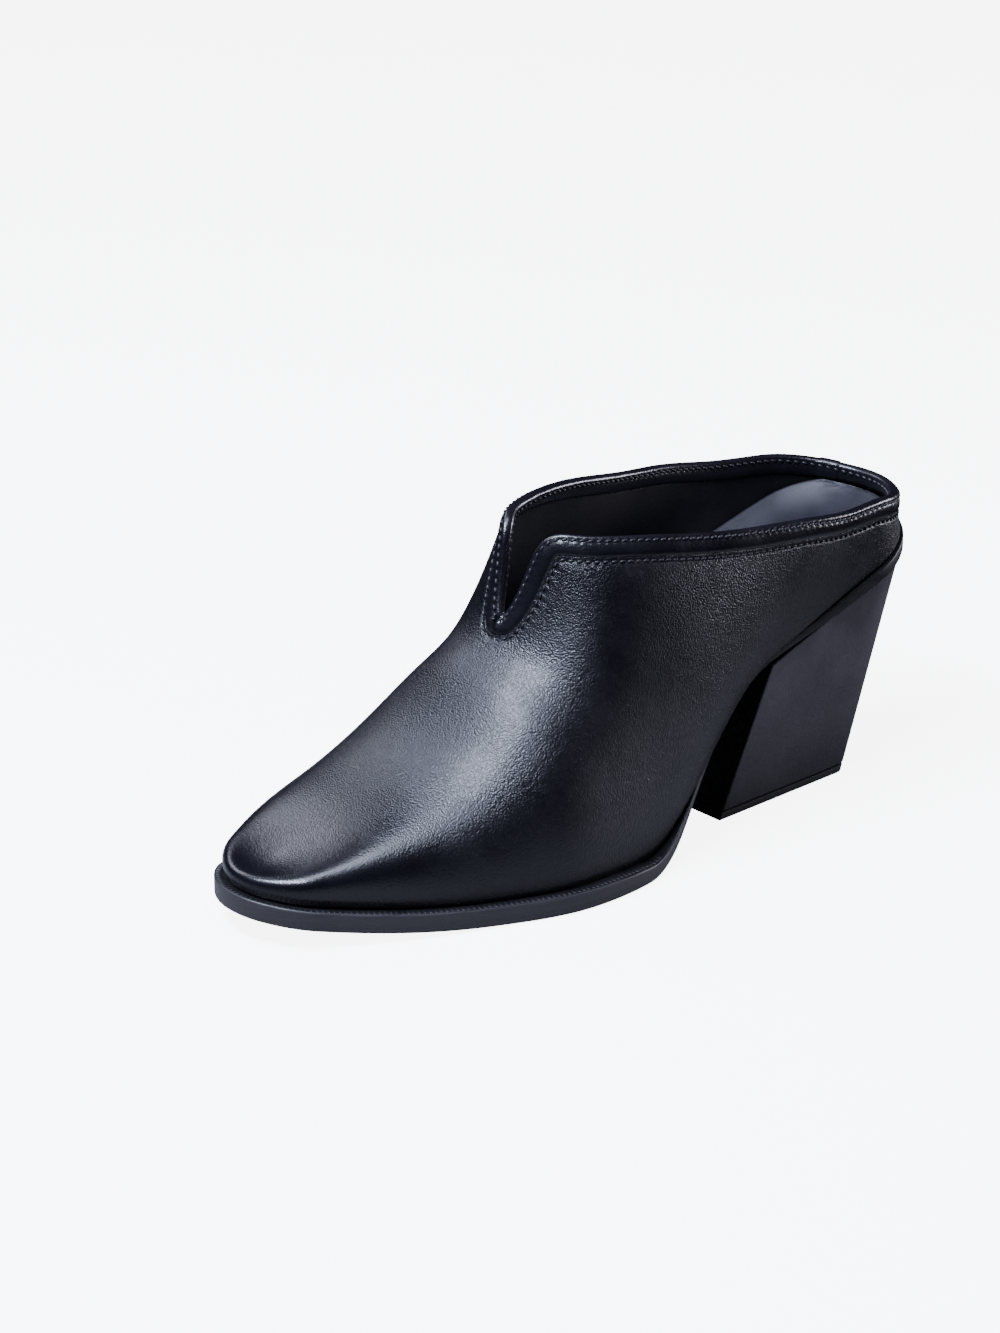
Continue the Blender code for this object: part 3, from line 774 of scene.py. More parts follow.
def even_loop(step):
    """The topline at even steps: points, up the wall, out of the wall, and the way walked."""
    loop, up = topline(SKIN_RIBS)
    closed = np.concatenate([loop, loop[:1]])
    closed_up = np.concatenate([up, up[:1]])
    walked = way_along(closed)
    count = int(round(walked[-1] / step))
    at = np.arange(count) * walked[-1] / count
    places = read_path(at, walked, closed)
    up = read_path(at, walked, closed_up)
    bottom = np.exp(-((np.minimum(at, walked[-1] - at) / ROUNDED_WITHIN) ** 2))[:, None]
    even = smoothed(places, LOOP_PASSES)
    places = even + bottom * (smoothed(places, ROUND_PASSES) - even)
    up = smoothed(up, FRAME_PASSES)
    ahead = unit(np.roll(places, -1, axis=0) - np.roll(places, 1, axis=0))
    out = unit(np.cross(ahead, up))
    return places, unit(np.cross(out, ahead)), out, at


def crease_depth(points):
    """How far the soft creases pull the leather in at each point."""
    depth = np.zeros(len(points))
    for row in CREASES:
        crease = dict(zip(CREASE_COLUMNS, row))
        side = "outer" if crease["side"] > 0 else "inner"
        share = np.linspace(0, 1, CREASE_SAMPLES)
        along = crease["along_from"] + (crease["along_to"] - crease["along_from"]) * share
        up = crease["up_from"] + (crease["up_to"] - crease["up_from"]) * share
        path = rib_points(along, side, up[:, None])[:, 0]
        gap, number = nearest(points, path)
        fade = np.sin(math.pi * (0.1 + 0.8 * share[number]))
        hollow = np.exp(-((gap / crease["width"]) ** 2))
        ridge = np.exp(-(((gap - 2 * crease["width"]) / crease["width"]) ** 2))
        depth += crease["depth"] * fade * (hollow - CREASE_RIDGE * ridge)
    return depth


def seam_relief(points, stitch_pitch):
    """Groove of the stitch row under the tape and the small gathers that hang from it."""
    places, _, _, walked = even_loop(TAPE_STEP)
    gap, number = nearest(points, places)
    walk = walked[number]
    amount = GATHER_CURVES.read("amount", walk)
    wander = np.array([noise.noise(Vector((w * 90, 3.7, 1.3))) for w in walk])
    groove = np.exp(-(((gap - SEAM_BELOW) / SEAM_GROOVE_WIDTH) ** 2))
    ripple = 0.5 + 0.5 * np.cos(2 * math.pi * (walk / stitch_pitch + 0.25 * wander))
    below = np.clip((gap - SEAM_BELOW) / GATHER_REACH, 0, 3)
    gather = ripple * amount * (0.7 + 0.6 * wander) * np.exp(-(below**2)) * (gap > GATHER_FROM)
    return SEAM_GROOVE * groove * (0.6 + 0.4 * ripple) + GATHER_DEPTH * gather


def thicken(obj, thickness):
    """Gives an open sheet its wall, inwards."""
    wall = obj.modifiers.new("wall", "SOLIDIFY")
    wall.thickness = thickness
    wall.offset = -1
    wall.use_even_offset = False
    wall.use_quality_normals = True


def settings():
    """The sizes and the colours set in the panel."""
    return bpy.context.scene.mule_sizes, bpy.context.scene.mule_colours


def make_skin(sizes):
    """The upper's leather with its creases, gathers and the slight unevenness of hide."""
    obj = skin_sheet("upper_leather", SKIN_RIBS, SKIN_ROWS, FINE_ROWS)
    places, normals = read_points(obj.data)
    slow = np.array([noise.noise(Vector(place * 30)) for place in places])
    quick = np.array([noise.noise(Vector(place * 85)) for place in places])
    toe = np.clip((places[:, 1] - y_of(0.92)) / 0.03, 0.15, 1)
    moved = LEATHER_WOBBLE * (slow + 0.4 * quick) * toe
    moved -= crease_depth(places)
    moved -= seam_relief(places, sizes.stitch_pitch)
    move_points(obj.data, places, normals, moved)
    thicken(obj, sizes.leather_thickness)
    return obj


def make_lining(sizes):
    """The lining just inside the leather."""
    obj = skin_sheet("upper_lining", LINING_RIBS, LINING_ROWS, LINING_FINE_ROWS)
    places, normals = read_points(obj.data)
    inset = np.full(len(places), -(sizes.leather_thickness + LINING_GAP))
    move_points(obj.data, places, normals, inset)
    thicken(obj, UPPER_WALL - sizes.leather_thickness - LINING_SHORT)
    return obj


def tape_section(sizes):
    """Section of the folded tape: across the wall and up it, from the seam."""
    turns = np.arange(TAPE_SIDES) * 2 * math.pi / TAPE_SIDES
    wide = np.sign(np.cos(turns)) * np.abs(np.cos(turns)) ** sizes.tape_squareness
    tall = np.sign(np.sin(turns)) * np.abs(np.sin(turns)) ** sizes.tape_squareness
    return wide * sizes.tape_thickness / 2, tall * sizes.tape_height / 2


def make_tape(sizes):
    """Folded leather tape over the topline, dented by its own stitch row."""
    places, up, out, walked = even_loop(TAPE_STEP)
    wide, tall = tape_section(sizes)
    total = walked[-1] + TAPE_STEP
    verts = []
    for place, climb, away, walk in zip(places, up, out, walked):
        hole = 0.5 + 0.5 * math.cos(2 * math.pi * walk / sizes.stitch_pitch)
        middle = place + climb * (sizes.tape_height / 2 - TAPE_LAP) - away * UPPER_WALL / 2
        dent = np.exp(-(((tall - sizes.tape_height * TAPE_ROW_AT) / TAPE_DENT_WIDTH) ** 2))
        dent = dent * (TAPE_DENT + TAPE_HOLE_DENT * hole)
        swell = TAPE_SWELL * noise.noise(Vector((walk * 140, 0.5, 7.1)))
        joined = TAPE_JOIN_AT * total < walk < (TAPE_JOIN_AT + TAPE_JOIN_LONG) * total
        join = TAPE_JOIN_RISE * joined
        grow = 1 + (swell + join) / (sizes.tape_thickness / 2)
        across = wide * grow - np.sign(wide) * dent
        high = tall * (1 + join / (sizes.tape_height / 2))
        verts += list(middle + climb * high[:, None] + away * across[:, None])
    rings = len(places)
    faces = []
    for r in range(rings):
        for c in range(TAPE_SIDES):
            d = (c + 1) % TAPE_SIDES
            a, b = r * TAPE_SIDES, ((r + 1) % rings) * TAPE_SIDES
            faces.append((a + c, b + c, b + d, a + d))
    return add_mesh("topline_tape", verts, faces, sharp=TAPE_SHARP_ANGLE)


class Nodes:
    """Adds nodes to a tree: inputs take a value or another node's output."""

    def __init__(self, tree):
        self.tree = tree

    def add(self, kind, inputs=None, **values):
        """A new node with its own settings and its inputs, by their names or numbers."""
        made = self.tree.nodes.new(kind)
        for key, value in values.items():
            setattr(made, key, value)
        for key, source in (inputs or {}).items():
            self.feed(made.inputs[key], source)
        return made

    def feed(self, socket, source):
        """Gives one input a value, an output or a node's first output."""
        if isinstance(source, bpy.types.Node):
            source = source.outputs[0]
        if isinstance(source, bpy.types.NodeSocket):
            self.tree.links.new(source, socket)
        else:
            socket.default_value = source

    def math(self, operation, a, b=0.0):
        """Sum, product or other working of two numbers."""
        return self.add("ShaderNodeMath", {0: a, 1: b}, operation=operation)

    def vector(self, operation, inputs):
        """Sum, length or other working of vectors."""
        return self.add("ShaderNodeVectorMath", inputs, operation=operation)

    def parts(self, vector):
        """The three numbers of a vector."""
        return self.add("ShaderNodeSeparateXYZ", {0: vector}).outputs

    def noise(self, place, scale, detail, **more):
        """Cloudy noise at a place."""
        return self.add("ShaderNodeTexNoise", {"Vector": place, "Scale": scale, "Detail": detail, **more})

    def bump(self, shader, height, distance):
        """Bumps the shader's surface by a height."""
        made = self.add("ShaderNodeBump", {"Strength": 1.0, "Distance": distance, "Height": height})
        self.feed(shader.inputs["Normal"], made)

    def ramp(self, value, low, high, to_low=0.0, to_high=1.0):
        """Smooth step from one number to another while a value goes from low to high."""
        sources = {"Value": value, "From Min": low, "From Max": high, "To Min": to_low, "To Max": to_high}
        return self.add("ShaderNodeMapRange", sources, interpolation_type="SMOOTHSTEP")

    def mix(self, share, a, b):
        """Colour between two colours."""
        made = self.add("ShaderNodeMix", data_type="RGBA")
        self.feed(made.inputs[0], share)
        self.feed(made.inputs[6], a)
        self.feed(made.inputs[7], b)
        return made.outputs[2]


def add_socket(tree, name, kind, value=None, way="INPUT"):
    """Names an input or output of a node group, with its first value."""
    socket = tree.interface.new_socket(name, in_out=way, socket_type="NodeSocket" + kind)
    if value is not None:
        socket.default_value = value


def stitch_tree():
    """Geometry nodes: one small rounded stitch at every pitch along a path."""
    tree = bpy.data.node_groups.new("Stitch row", "GeometryNodeTree")
    add_socket(tree, "Path", "Geometry")
    for name, value in STITCH_SIZES.items():
        add_socket(tree, name, "Float", value)
    add_socket(tree, "Thread", "Material")
    add_socket(tree, "Stitches", "Geometry", way="OUTPUT")
    nodes = Nodes(tree)
    asked = nodes.add("NodeGroupInput").outputs
    end = nodes.add("NodeGroupOutput")
    curve = nodes.add("GeometryNodeMeshToCurve", {"Mesh": asked["Path"]})
    steps = {"Curve": curve, "Length": asked["Pitch"]}
    row = nodes.add("GeometryNodeResampleCurve", steps, mode="LENGTH")
    tangent = nodes.add("GeometryNodeInputTangent")
    out = nodes.add("GeometryNodeInputNamedAttribute", {"Name": "out"}, data_type="FLOAT_VECTOR")
    turn = nodes.add("FunctionNodeAlignRotationToVector", {"Vector": tangent}, axis="X")
    outwards = {"Rotation": turn, "Vector": out.outputs["Attribute"]}
    level = nodes.add("FunctionNodeAlignRotationToVector", outwards, axis="Z", pivot_axis="X")
    slant = {"Axis": (0.0, 0.0, 1.0), "Angle": asked["Slant"]}
    lean = nodes.add("FunctionNodeAxisAngleToRotation", slant)
    both = {"Rotation": level, "Rotate By": lean}
    slanted = nodes.add("FunctionNodeRotateRotation", both, rotation_space="LOCAL")
    ball = nodes.add("GeometryNodeMeshIcoSphere", {"Radius": 0.5, "Subdivisions": 2})
    lengths = {"X": asked["Long"], "Y": asked["Wide"], "Z": asked["High"]}
    size = nodes.add("ShaderNodeCombineXYZ", lengths)
    shaped = nodes.add("GeometryNodeTransform", {"Geometry": ball, "Scale": size})
    each = {"Points": row, "Instance": shaped, "Rotation": slanted}
    placed = nodes.add("GeometryNodeInstanceOnPoints", each)
    real = nodes.add("GeometryNodeRealizeInstances", {"Geometry": placed})
    smooth = nodes.add("GeometryNodeSetShadeSmooth", {"Geometry": real})
    thread = {"Geometry": smooth, "Material": asked["Thread"]}
    nodes.feed(end.inputs[0], nodes.add("GeometryNodeSetMaterial", thread))
    return tree


def stitch_row(name, path, out, closed, material, **values):
    """Stitches along a path, made by the stitch tree and turned into a plain mesh."""
    mesh = bpy.data.meshes.new(name + "_path")
    count = len(path)
    edges = [(i, (i + 1) % count) for i in range(count if closed else count - 1)]
    mesh.from_pydata((path + SHIFT).tolist(), edges, [])
    mesh.attributes.new("out", "FLOAT_VECTOR", "POINT").data.foreach_set("vector", out.ravel())
    obj = link(name, mesh)
    tree = bpy.data.node_groups.get("Stitch row") or stitch_tree()
    row = obj.modifiers.new("row", "NODES")
    row.node_group = tree
    sockets = {item.name: item.identifier for item in tree.interface.items_tree if item.in_out == "INPUT"}
    for key, value in values.items():
        row[sockets[key.capitalize()]] = value
    row[sockets["Thread"]] = material
    graph = bpy.context.evaluated_depsgraph_get()
    plain = bpy.data.meshes.new_from_object(obj.evaluated_get(graph))
    if not plain.polygons:
        raise RuntimeError(name + " has no stitches")
    obj.modifiers.clear()
    obj.data = plain
    plain.name = name
    return obj


def sock_heights(along):
    """Pad height and slope width at each rib of the footbed."""
    cup = np.clip((CUP_GONE_AT - along) / (CUP_GONE_AT - CUP_WHOLE_AT), 0, 1)
    cup = cup**2 * (3 - 2 * cup)
    pad = INSOLE_FORE + (INSOLE_HEEL - INSOLE_FORE) * cup
    return cup, pad, INSOLE_EDGE_ROUND + SOCK_SLOPE * cup


def make_sock():
    """Sock leather over the footbed, dished at the heel and turned up against the tape."""
    along = toe_to_heel(SOCK_RIBS)
    cup, pad, _ = sock_heights(along)
    edges = {}
    feet = {}
    for side in ("outer", "inner"):
        ends = rib_points(along, side, rib_ends(along, side)[:, None])[:, 0, 2]
        room = ends - sole_top(along) + SOCK_OVER_SEAM
        rim = np.minimum(pad + SOCK_CUP * cup, room)
        edges[side] = insole_ring(along, side, rim, SOCK_CLEAR * cup, rim)
        feet[side] = insole_ring(along, side, rim * 0, cup * 0, rim * 0)
    share = 0.5 - 0.5 * np.cos(math.pi * np.linspace(0, 1, SOCK_COLUMNS))
    across = (edges["inner"] - edges["outer"])[:, None]
    plan = edges["outer"][:, None] + across * share[None, :, None]
    outline = np.concatenate([edges["outer"], edges["inner"][::-1]])
    flat = plan.reshape(-1, 3)
    gap, number = nearest(flat * (1, 1, 0), outline * (1, 1, 0))
    rim_lift = outline[:, 2] - sole_top(along_of(outline[:, 1])) - CLEARANCE
    at = along_of(flat[:, 1])
    _, pad_at, slope_at = sock_heights(at)
    rise = np.clip(1 - gap / slope_at, 0, 1) ** 2
    lift = pad_at + (rim_lift[number] - pad_at) * rise
    edge_drop = SOCK_EDGE_DROP * np.clip(1 - gap / SOCK_EDGE_WIDTH, 0, 1) ** 2
    flat[:, 2] = sole_top(at) + CLEARANCE + lift - edge_drop
    columns = SOCK_COLUMNS
    verts = list(flat)
    faces = grid_faces(SOCK_RIBS, columns)
    base = len(verts)
    verts += list(feet["outer"]) + list(feet["inner"])
    for i in range(SOCK_RIBS - 1):
        a, b = base + i, base + SOCK_RIBS + i
        faces.append((i * columns, (i + 1) * columns, a + 1, a))
        faces.append(((i + 1) * columns - 1, b, b + 1, (i + 2) * columns - 1))
        faces.append((a, a + 1, b + 1, b))
    return add_mesh("sock", verts, faces, merge=SOCK_MERGE_WITHIN)


def ring_solid(name, rings, rows):
    """Closed solid through rings that each run up the outer side and back down the inner one."""
    size = len(rings[0])
    faces = grid_faces(len(rings), size, wrap=True)
    for start in (0, (len(rings) - 1) * size):
        for i in range(rows - 1):
            across = [i, i + 1, (size - i - 1) % size, (size - i) % size]
            faces.append(tuple(start + k for k in dict.fromkeys(across)))
    return add_mesh(name, np.concatenate(rings), faces)


def make_sole():
    """Sole with its ledge, trimmed edge and rounded arrises."""
    along = toe_to_heel(SOLE_RIBS)
    ledge = SOLE_LEDGE * SOLE_CURVES.read("ledge", along)
    turns = np.linspace(0, math.pi / 2, ARRIS_STEPS)
    low = [(-(1 - math.sin(t)), 1 - math.cos(t), False) for t in turns]
    high = [(-(1 - math.cos(t)), -(1 - math.sin(t)), True) for t in turns]
    underside = (-SOLE_FLAT_FROM, 0.0, False)
    upside = (-SOLE_FLAT_FROM, 0.0, True)
    rings = []
    for inset, lift, top in [underside] + low + high + [upside]:
        outer = offset_outline(along, "outer", ledge + inset * SOLE_ARRIS)
        inner = offset_outline(along, "inner", ledge + inset * SOLE_ARRIS)[1:-1][::-1]
        plan = np.concatenate([outer, inner])
        at = along_of(plan[:, 1])
        height = (sole_top(at) if top else sole_bottom(at)) + lift * SOLE_ARRIS
        rings.append(np.column_stack([plan, height]))
    return ring_solid("sole", rings, SOLE_RIBS)


def ledge_path(share):
    """Path at a share of the way across the ledge, from the waist round the toe and back."""
    turns = np.linspace(0, math.pi / 2, LEDGE_SAMPLES)
    along = 1 - (1 - WHEELED_FROM) * (1 - np.sin(turns))
    ledge = SOLE_LEDGE * SOLE_CURVES.read("ledge", along) * share
    outer = offset_outline(along, "outer", ledge)
    inner = offset_outline(along, "inner", ledge)[::-1]
    plan = np.concatenate([outer, inner[1:]])
    return np.column_stack([plan, sole_top(along_of(plan[:, 1]))])


def make_heel_part(name, low, high):
    """One storey of the heel between two heights; without an upper height it ends at the seat."""
    foot, top = block_outlines(HEEL_SHOWN_POINTS)
    top_z = sole_bottom(along_of(top[:, 1])) - CLEARANCE
    foot_3d = np.column_stack([foot, np.zeros(len(foot))])
    top_3d = np.column_stack([top, top_z])
    rings = []
    for k in range(HEEL_LEVELS + 1):
        share = k / HEEL_LEVELS
        z = low + (high - low) * share if high is not None else low + (top_z - low) * share
        at = (z / top_z)[:, None]
        rings.append(foot_3d + (top_3d - foot_3d) * at)
    size = len(foot)
    faces = grid_faces(len(rings), size, wrap=True)
    faces.append(tuple(range(size))[::-1])
    faces.append(tuple(range((len(rings) - 1) * size, len(rings) * size)))
    return add_mesh(name, np.concatenate(rings), faces)


def bevel(obj, width, segments=3):
    """Rounds the hard edges of a piece."""
    arris = obj.modifiers.new("arris", "BEVEL")
    arris.width = width
    arris.segments = segments
    arris.limit_method = "ANGLE"
    arris.angle_limit = math.radians(ARRIS_ANGLE)
    arris.harden_normals = False


def grain_group():
    """Hide grain: pebbles of a given size in a given place, with finer pores, and slow mottling."""
    tree = bpy.data.node_groups.get("Hide grain")
    if tree:
        return tree
    tree = bpy.data.node_groups.new("Hide grain", "ShaderNodeTree")
    add_socket(tree, "Place", "Vector")
    add_socket(tree, "Pebbles per metre", "Float", 1400)
    add_socket(tree, "Pores", "Float", PORES)
    add_socket(tree, "Height", "Float", way="OUTPUT")
    add_socket(tree, "Mottle", "Float", way="OUTPUT")
    nodes = Nodes(tree)
    asked = nodes.add("NodeGroupInput").outputs
    end = nodes.add("NodeGroupOutput")
    place, rate = asked["Place"], asked["Pebbles per metre"]
    bend = nodes.noise(place, nodes.math("MULTIPLY", rate, 0.35), 2.0)
    shift = nodes.vector("SUBTRACT", {0: bend.outputs["Color"], 1: (0.5, 0.5, 0.5)})
    scaled = nodes.vector("SCALE", {0: shift, "Scale": nodes.math("DIVIDE", 1.1, rate)})
    bent = nodes.vector("ADD", {0: place, 1: scaled})
    spots = {"Vector": bent, "Scale": rate, "Smoothness": 0.35}
    cells = nodes.add("ShaderNodeTexVoronoi", spots, feature="SMOOTH_F1")
    fine = nodes.noise(place, nodes.math("MULTIPLY", rate, 2.6), 3.0)
    pebbles = nodes.math("SUBTRACT", 0.9, cells.outputs["Distance"])
    pores = nodes.math("MULTIPLY", fine, asked["Pores"])
    nodes.feed(end.inputs["Height"], nodes.math("ADD", pebbles, pores))
    nodes.feed(end.inputs["Mottle"], nodes.noise(place, 55.0, 5.0, Roughness=0.6))
    return tree


def new_material(name, colour, roughness, **constants):
    """A material with its shader; returns it, its node adder, the shader and the place output."""
    material = bpy.data.materials.new(name)
    material.use_nodes = True
    material.diffuse_color = colour
    shader = material.node_tree.nodes["Principled BSDF"]
    shader.inputs["Base Color"].default_value = colour
    shader.inputs["Roughness"].default_value = roughness
    for key, value in constants.items():
        shader.inputs[key.replace("_", " ").title().replace("Ior", "IOR")].default_value = value
    nodes = Nodes(material.node_tree)
    place = nodes.add("ShaderNodeTexCoord").outputs["Object"]
    return material, nodes, shader, place


def lighter(colour, times, more=0.0):
    """A lighter tone of a colour."""
    return tuple(c * times + more for c in colour[:3]) + (1.0,)


def leather(name, colour, roughness, rate, depth, toe_smooth=False, spread=0.10, **constants):
    """Finished leather: pebbled grain in its bump and slow changes in its gloss and colour."""
    material, nodes, shader, place = new_material(name, colour, roughness, **constants)
    grain = nodes.add("ShaderNodeGroup")
    grain.node_tree = grain_group()
    nodes.feed(grain.inputs["Place"], place)
    grain.inputs["Pebbles per metre"].default_value = rate
    grain.inputs["Pores"].default_value = PORES
    height, mottle = grain.outputs["Height"], grain.outputs["Mottle"]
    gloss = nodes.ramp(mottle, 0.3, 0.7, roughness - spread / 2, roughness + spread / 2)
    if toe_smooth:
        y = nodes.parts(place)["Y"]
        height = nodes.math("MULTIPLY", height, nodes.ramp(y, *TOE_SMOOTH, 0.25, 1.0))
        gloss = nodes.math("MULTIPLY", gloss, nodes.ramp(y, *TOE_SMOOTH, 0.70, 1.0))
    nodes.bump(shader, height, depth)
    nodes.feed(shader.inputs["Roughness"], gloss)
    tone = nodes.mix(nodes.ramp(mottle, 0.35, 0.75), colour, lighter(colour, 1.5, 0.001))
    nodes.feed(shader.inputs["Base Color"], tone)
    return material


def speckled(name, colour, roughness, rate, detail, range_of_gloss, depth):
    """Plain material with a fine speckle in its gloss and bump."""
    material, nodes, shader, place = new_material(name, colour, roughness)
    speckle = nodes.noise(place, rate, detail)
    nodes.feed(shader.inputs["Roughness"], nodes.ramp(speckle, 0.3, 0.7, *range_of_gloss))
    nodes.bump(shader, speckle, depth)
    return material


def sole_material(colour, dark):
    """Trimmed sole edge, buffed along its length, with painted shade on the ledge top and round the heel
    seat.
    """
    material, nodes, shader, place = new_material("Trimmed sole edge", colour, 0.42)
    facing = nodes.parts(nodes.add("ShaderNodeNewGeometry").outputs["Normal"])
    # Painted shade: faces turned up, the ledge top, take the dark colour as if shaded by the upper above.
    top = nodes.ramp(facing["Z"], 0.55, 0.85)
    # Painted shade: the heel seat at the back takes the dark colour as shade between the upper and the
    # heel.
    seat = nodes.ramp(nodes.parts(place)["Y"], 0.012, 0.030)
    lines = nodes.add("ShaderNodeMapping", {"Vector": place, "Scale": (60.0, 60.0, 2600.0)})
    buffed = nodes.math("MULTIPLY", nodes.noise(lines, 1.0, 3.0), 0.7)
    speckle = nodes.math("MULTIPLY", nodes.noise(place, 1500.0, 3.0), 0.3)
    both = nodes.math("ADD", buffed, speckle)
    edge = nodes.mix(nodes.ramp(both, 0.35, 0.65), colour, lighter(colour, 1.35))
    # The dark colour mixed in here is painted shade, not a colour of the sole.
    tone = nodes.mix(nodes.math("MAXIMUM", top, seat), edge, dark)
    nodes.feed(shader.inputs["Base Color"], tone)
    nodes.feed(shader.inputs["Roughness"], nodes.ramp(both, 0.3, 0.7, 0.36, 0.52))
    nodes.bump(shader, both, 0.00004)
    return material


def heel_material(colour, dark):
    """Leather-covered heel with painted shade: its breast face takes the dark colour and its foot darkens
    towards the bottom.
    """
    material = leather("Heel cover", colour, 0.44, 1900.0, 0.00003, spread=0.08)
    nodes = Nodes(material.node_tree)
    shader = material.node_tree.nodes["Principled BSDF"]
    facing = nodes.parts(nodes.add("ShaderNodeNewGeometry").outputs["Normal"])
    # Painted shade: faces turned to the front, the breast, take the dark colour.
    breast = nodes.ramp(facing["Y"], -0.55, -0.85)
    height = nodes.parts(nodes.add("ShaderNodeTexCoord").outputs["Object"])["Z"]
    # Painted shade: the cover darkens towards its foot, where the floor's contact shade falls.
    foot = nodes.ramp(height, 0.045, 0.000, 0.0, 0.75)
    plain = shader.inputs["Base Color"].links[0].from_socket
    tone = nodes.mix(nodes.math("MAXIMUM", breast, foot), plain, dark)
    nodes.feed(shader.inputs["Base Color"], tone)
    return material


def paint(obj, material):
    """Gives an object its only material."""
    obj.data.materials.clear()
    obj.data.materials.append(material)


def length(name, description, default):
    """A length of the panel, in metres."""
    return bpy.props.FloatProperty(
        name=name, description=description, default=default, min=0.0, unit="LENGTH", precision=5
    )


def ratio(name, description, default):
    """A plain number of the panel, up to one."""
    return bpy.props.FloatProperty(
        name=name, description=description, default=default, min=0.3, max=1.0
    )


def colour(name, description, default):
    """A colour of the panel."""
    return bpy.props.FloatVectorProperty(
        name=name, description=description, default=default, size=4, min=0.0, max=1.0, subtype="COLOR"
    )


class MuleSizes(bpy.types.PropertyGroup):
    """Sizes of the visible pieces"""

    leather_thickness: length("Leather thickness", "Thickness of the upper's outer leather", 0.0012)
    tape_height: length("Tape height", "Height of the folded topline tape up the wall", 0.0064)
    tape_thickness: length("Tape thickness", "Thickness of the folded tape across the wall", 0.0037)
    tape_squareness: ratio("Tape squareness", "1 is an ellipse in section, less is squarer", 0.72)
    stitch_pitch: length("Stitch pitch", "Distance from one stitch to the next", 0.0025)
    stitch_length: length("Stitch length", "Length of a stitch", 0.0018)
    thread: length("Thread", "Thickness of the thread", 0.00085)
    wheel_pitch: length("Wheel pitch", "Distance between the wheeled marks of the ledge", 0.0016)


class MuleColours(bpy.types.PropertyGroup):
    """Colours of the visible pieces"""

    upper: colour("Upper", "Outer leather", (0.0026, 0.0023, 0.0044, 1.0))
    tape: colour("Tape", "Topline tape", (0.0040, 0.0037, 0.0060, 1.0))
    lining: colour("Lining", "Lining leather", (0.0025, 0.0025, 0.0035, 1.0))
    sock: colour("Sock", "Sock leather over the footbed", (0.0085, 0.0080, 0.0130, 1.0))
    sole: colour("Sole edge", "Trimmed edge of the sole", (0.0330, 0.0300, 0.0340, 1.0))
    # This dark colour is the lift's own colour and also the painted shade on the sole's ledge top and
    # heel seat and on the heel's breast and foot.
    black_and_shade: colour("Black", "Ledge, heel seat and heel breast", (0.0040, 0.0040, 0.0055, 1.0))
    heel: colour("Heel", "Heel cover", (0.0620, 0.0540, 0.0680, 1.0))
    thread: colour("Thread", "Stitching thread", (0.0110, 0.0105, 0.0150, 1.0))
    floor: colour("Floor", "Floor of the stage", (0.86, 0.86, 0.87, 1.0))


class MULE_OT_upper(bpy.types.Operator):
    """Make the upper's leather and its lining"""

    bl_idname = "mule.upper"
    bl_label = "Upper and lining"

    def execute(self, context):
        sizes, colours = settings()
        skin = make_skin(sizes)
        gloss = {"coat_weight": 0.10, "coat_roughness": 0.25}
        hide = leather(
            "Upper leather", tuple(colours.upper), 0.37, 1900.0, 0.00016, toe_smooth=True, **gloss
        )
        paint(skin, hide)
        finish_piece(skin, "upper_leather", "upper")
        lining = make_lining(sizes)
        paint(lining, leather("Lining leather", tuple(colours.lining), 0.55, 1700.0, 0.00004))
        finish_piece(lining, "upper_leather")
        return {"FINISHED"}


class MULE_OT_tape(bpy.types.Operator):
    """Make the topline tape and its stitches"""

    bl_idname = "mule.tape"
    bl_label = "Topline tape and stitches"

    def execute(self, context):
        sizes, colours = settings()
        tape = make_tape(sizes)
        gloss = {"coat_weight": 0.25, "coat_roughness": 0.18}
        paint(tape, leather("Tape leather", tuple(colours.tape), 0.29, 1500.0, 0.00007, **gloss))
        finish_piece(tape, "binding_leather", "topline_binding")
        thread = speckled(
            "Waxed thread", tuple(colours.thread), 0.5, 4200.0, 2.0, (0.4, 0.62), 0.00005
        )
        places, up, out, _ = even_loop(TAPE_STEP)
        middle = places + up * (sizes.tape_height / 2 - TAPE_LAP) - out * UPPER_WALL / 2
        row_at = middle + up * sizes.tape_height * TAPE_ROW_AT
        proud = out * (sizes.tape_thickness / 2 - TAPE_STITCH_SUNK)
        seam = places - up * SEAM_BELOW - out * SEAM_STITCH_SUNK
        for name, path, away, slant, slot in (
            ("tape_stitches_out", row_at + proud, out, TAPE_SLANT, "binding_leather"),
            ("tape_stitches_in", row_at - proud, -out, -TAPE_SLANT, "binding_leather"),
            ("seam_stitches", seam, out, SEAM_SLANT, "upper_leather"),
        ):
            size = {"long": sizes.stitch_length, "wide": sizes.thread, "high": sizes.thread}
            pitch = sizes.stitch_pitch
            row = stitch_row(name, path, away, True, thread, pitch=pitch, slant=slant, **size)
            finish_piece(row, slot)
        return {"FINISHED"}


class MULE_OT_sock(bpy.types.Operator):
    """Make the sock leather over the footbed"""

    bl_idname = "mule.sock"
    bl_label = "Sock"

    def execute(self, context):
        _, colours = settings()
        sock = make_sock()
        gloss = {"spread": 0.06, "specular_ior_level": 0.35}
        paint(sock, leather("Sock leather", tuple(colours.sock), 0.46, 2300.0, 0.00002, **gloss))
        finish_piece(sock, "sock_leather", "insole")
        return {"FINISHED"}


class MULE_OT_sole(bpy.types.Operator):
    """Make the sole and the wheeled marks on its ledge"""

    bl_idname = "mule.sole"
    bl_label = "Sole"

    def execute(self, context):
        sizes, colours = settings()
        sole = make_sole()
        material = sole_material(tuple(colours.sole), tuple(colours.black_and_shade))
        paint(sole, material)
        finish_piece(sole, "sole_edge", "outsole")
        path = ledge_path(WHEELED_ACROSS)
        up = np.tile((0.0, 0.0, 1.0), (len(path), 1))
        size = {"pitch": sizes.wheel_pitch, "slant": 0.0, **WHEEL_MARK}
        marks = stitch_row("ledge_wheeling", path, up, False, material, **size)
        finish_piece(marks, "sole_edge")
        return {"FINISHED"}


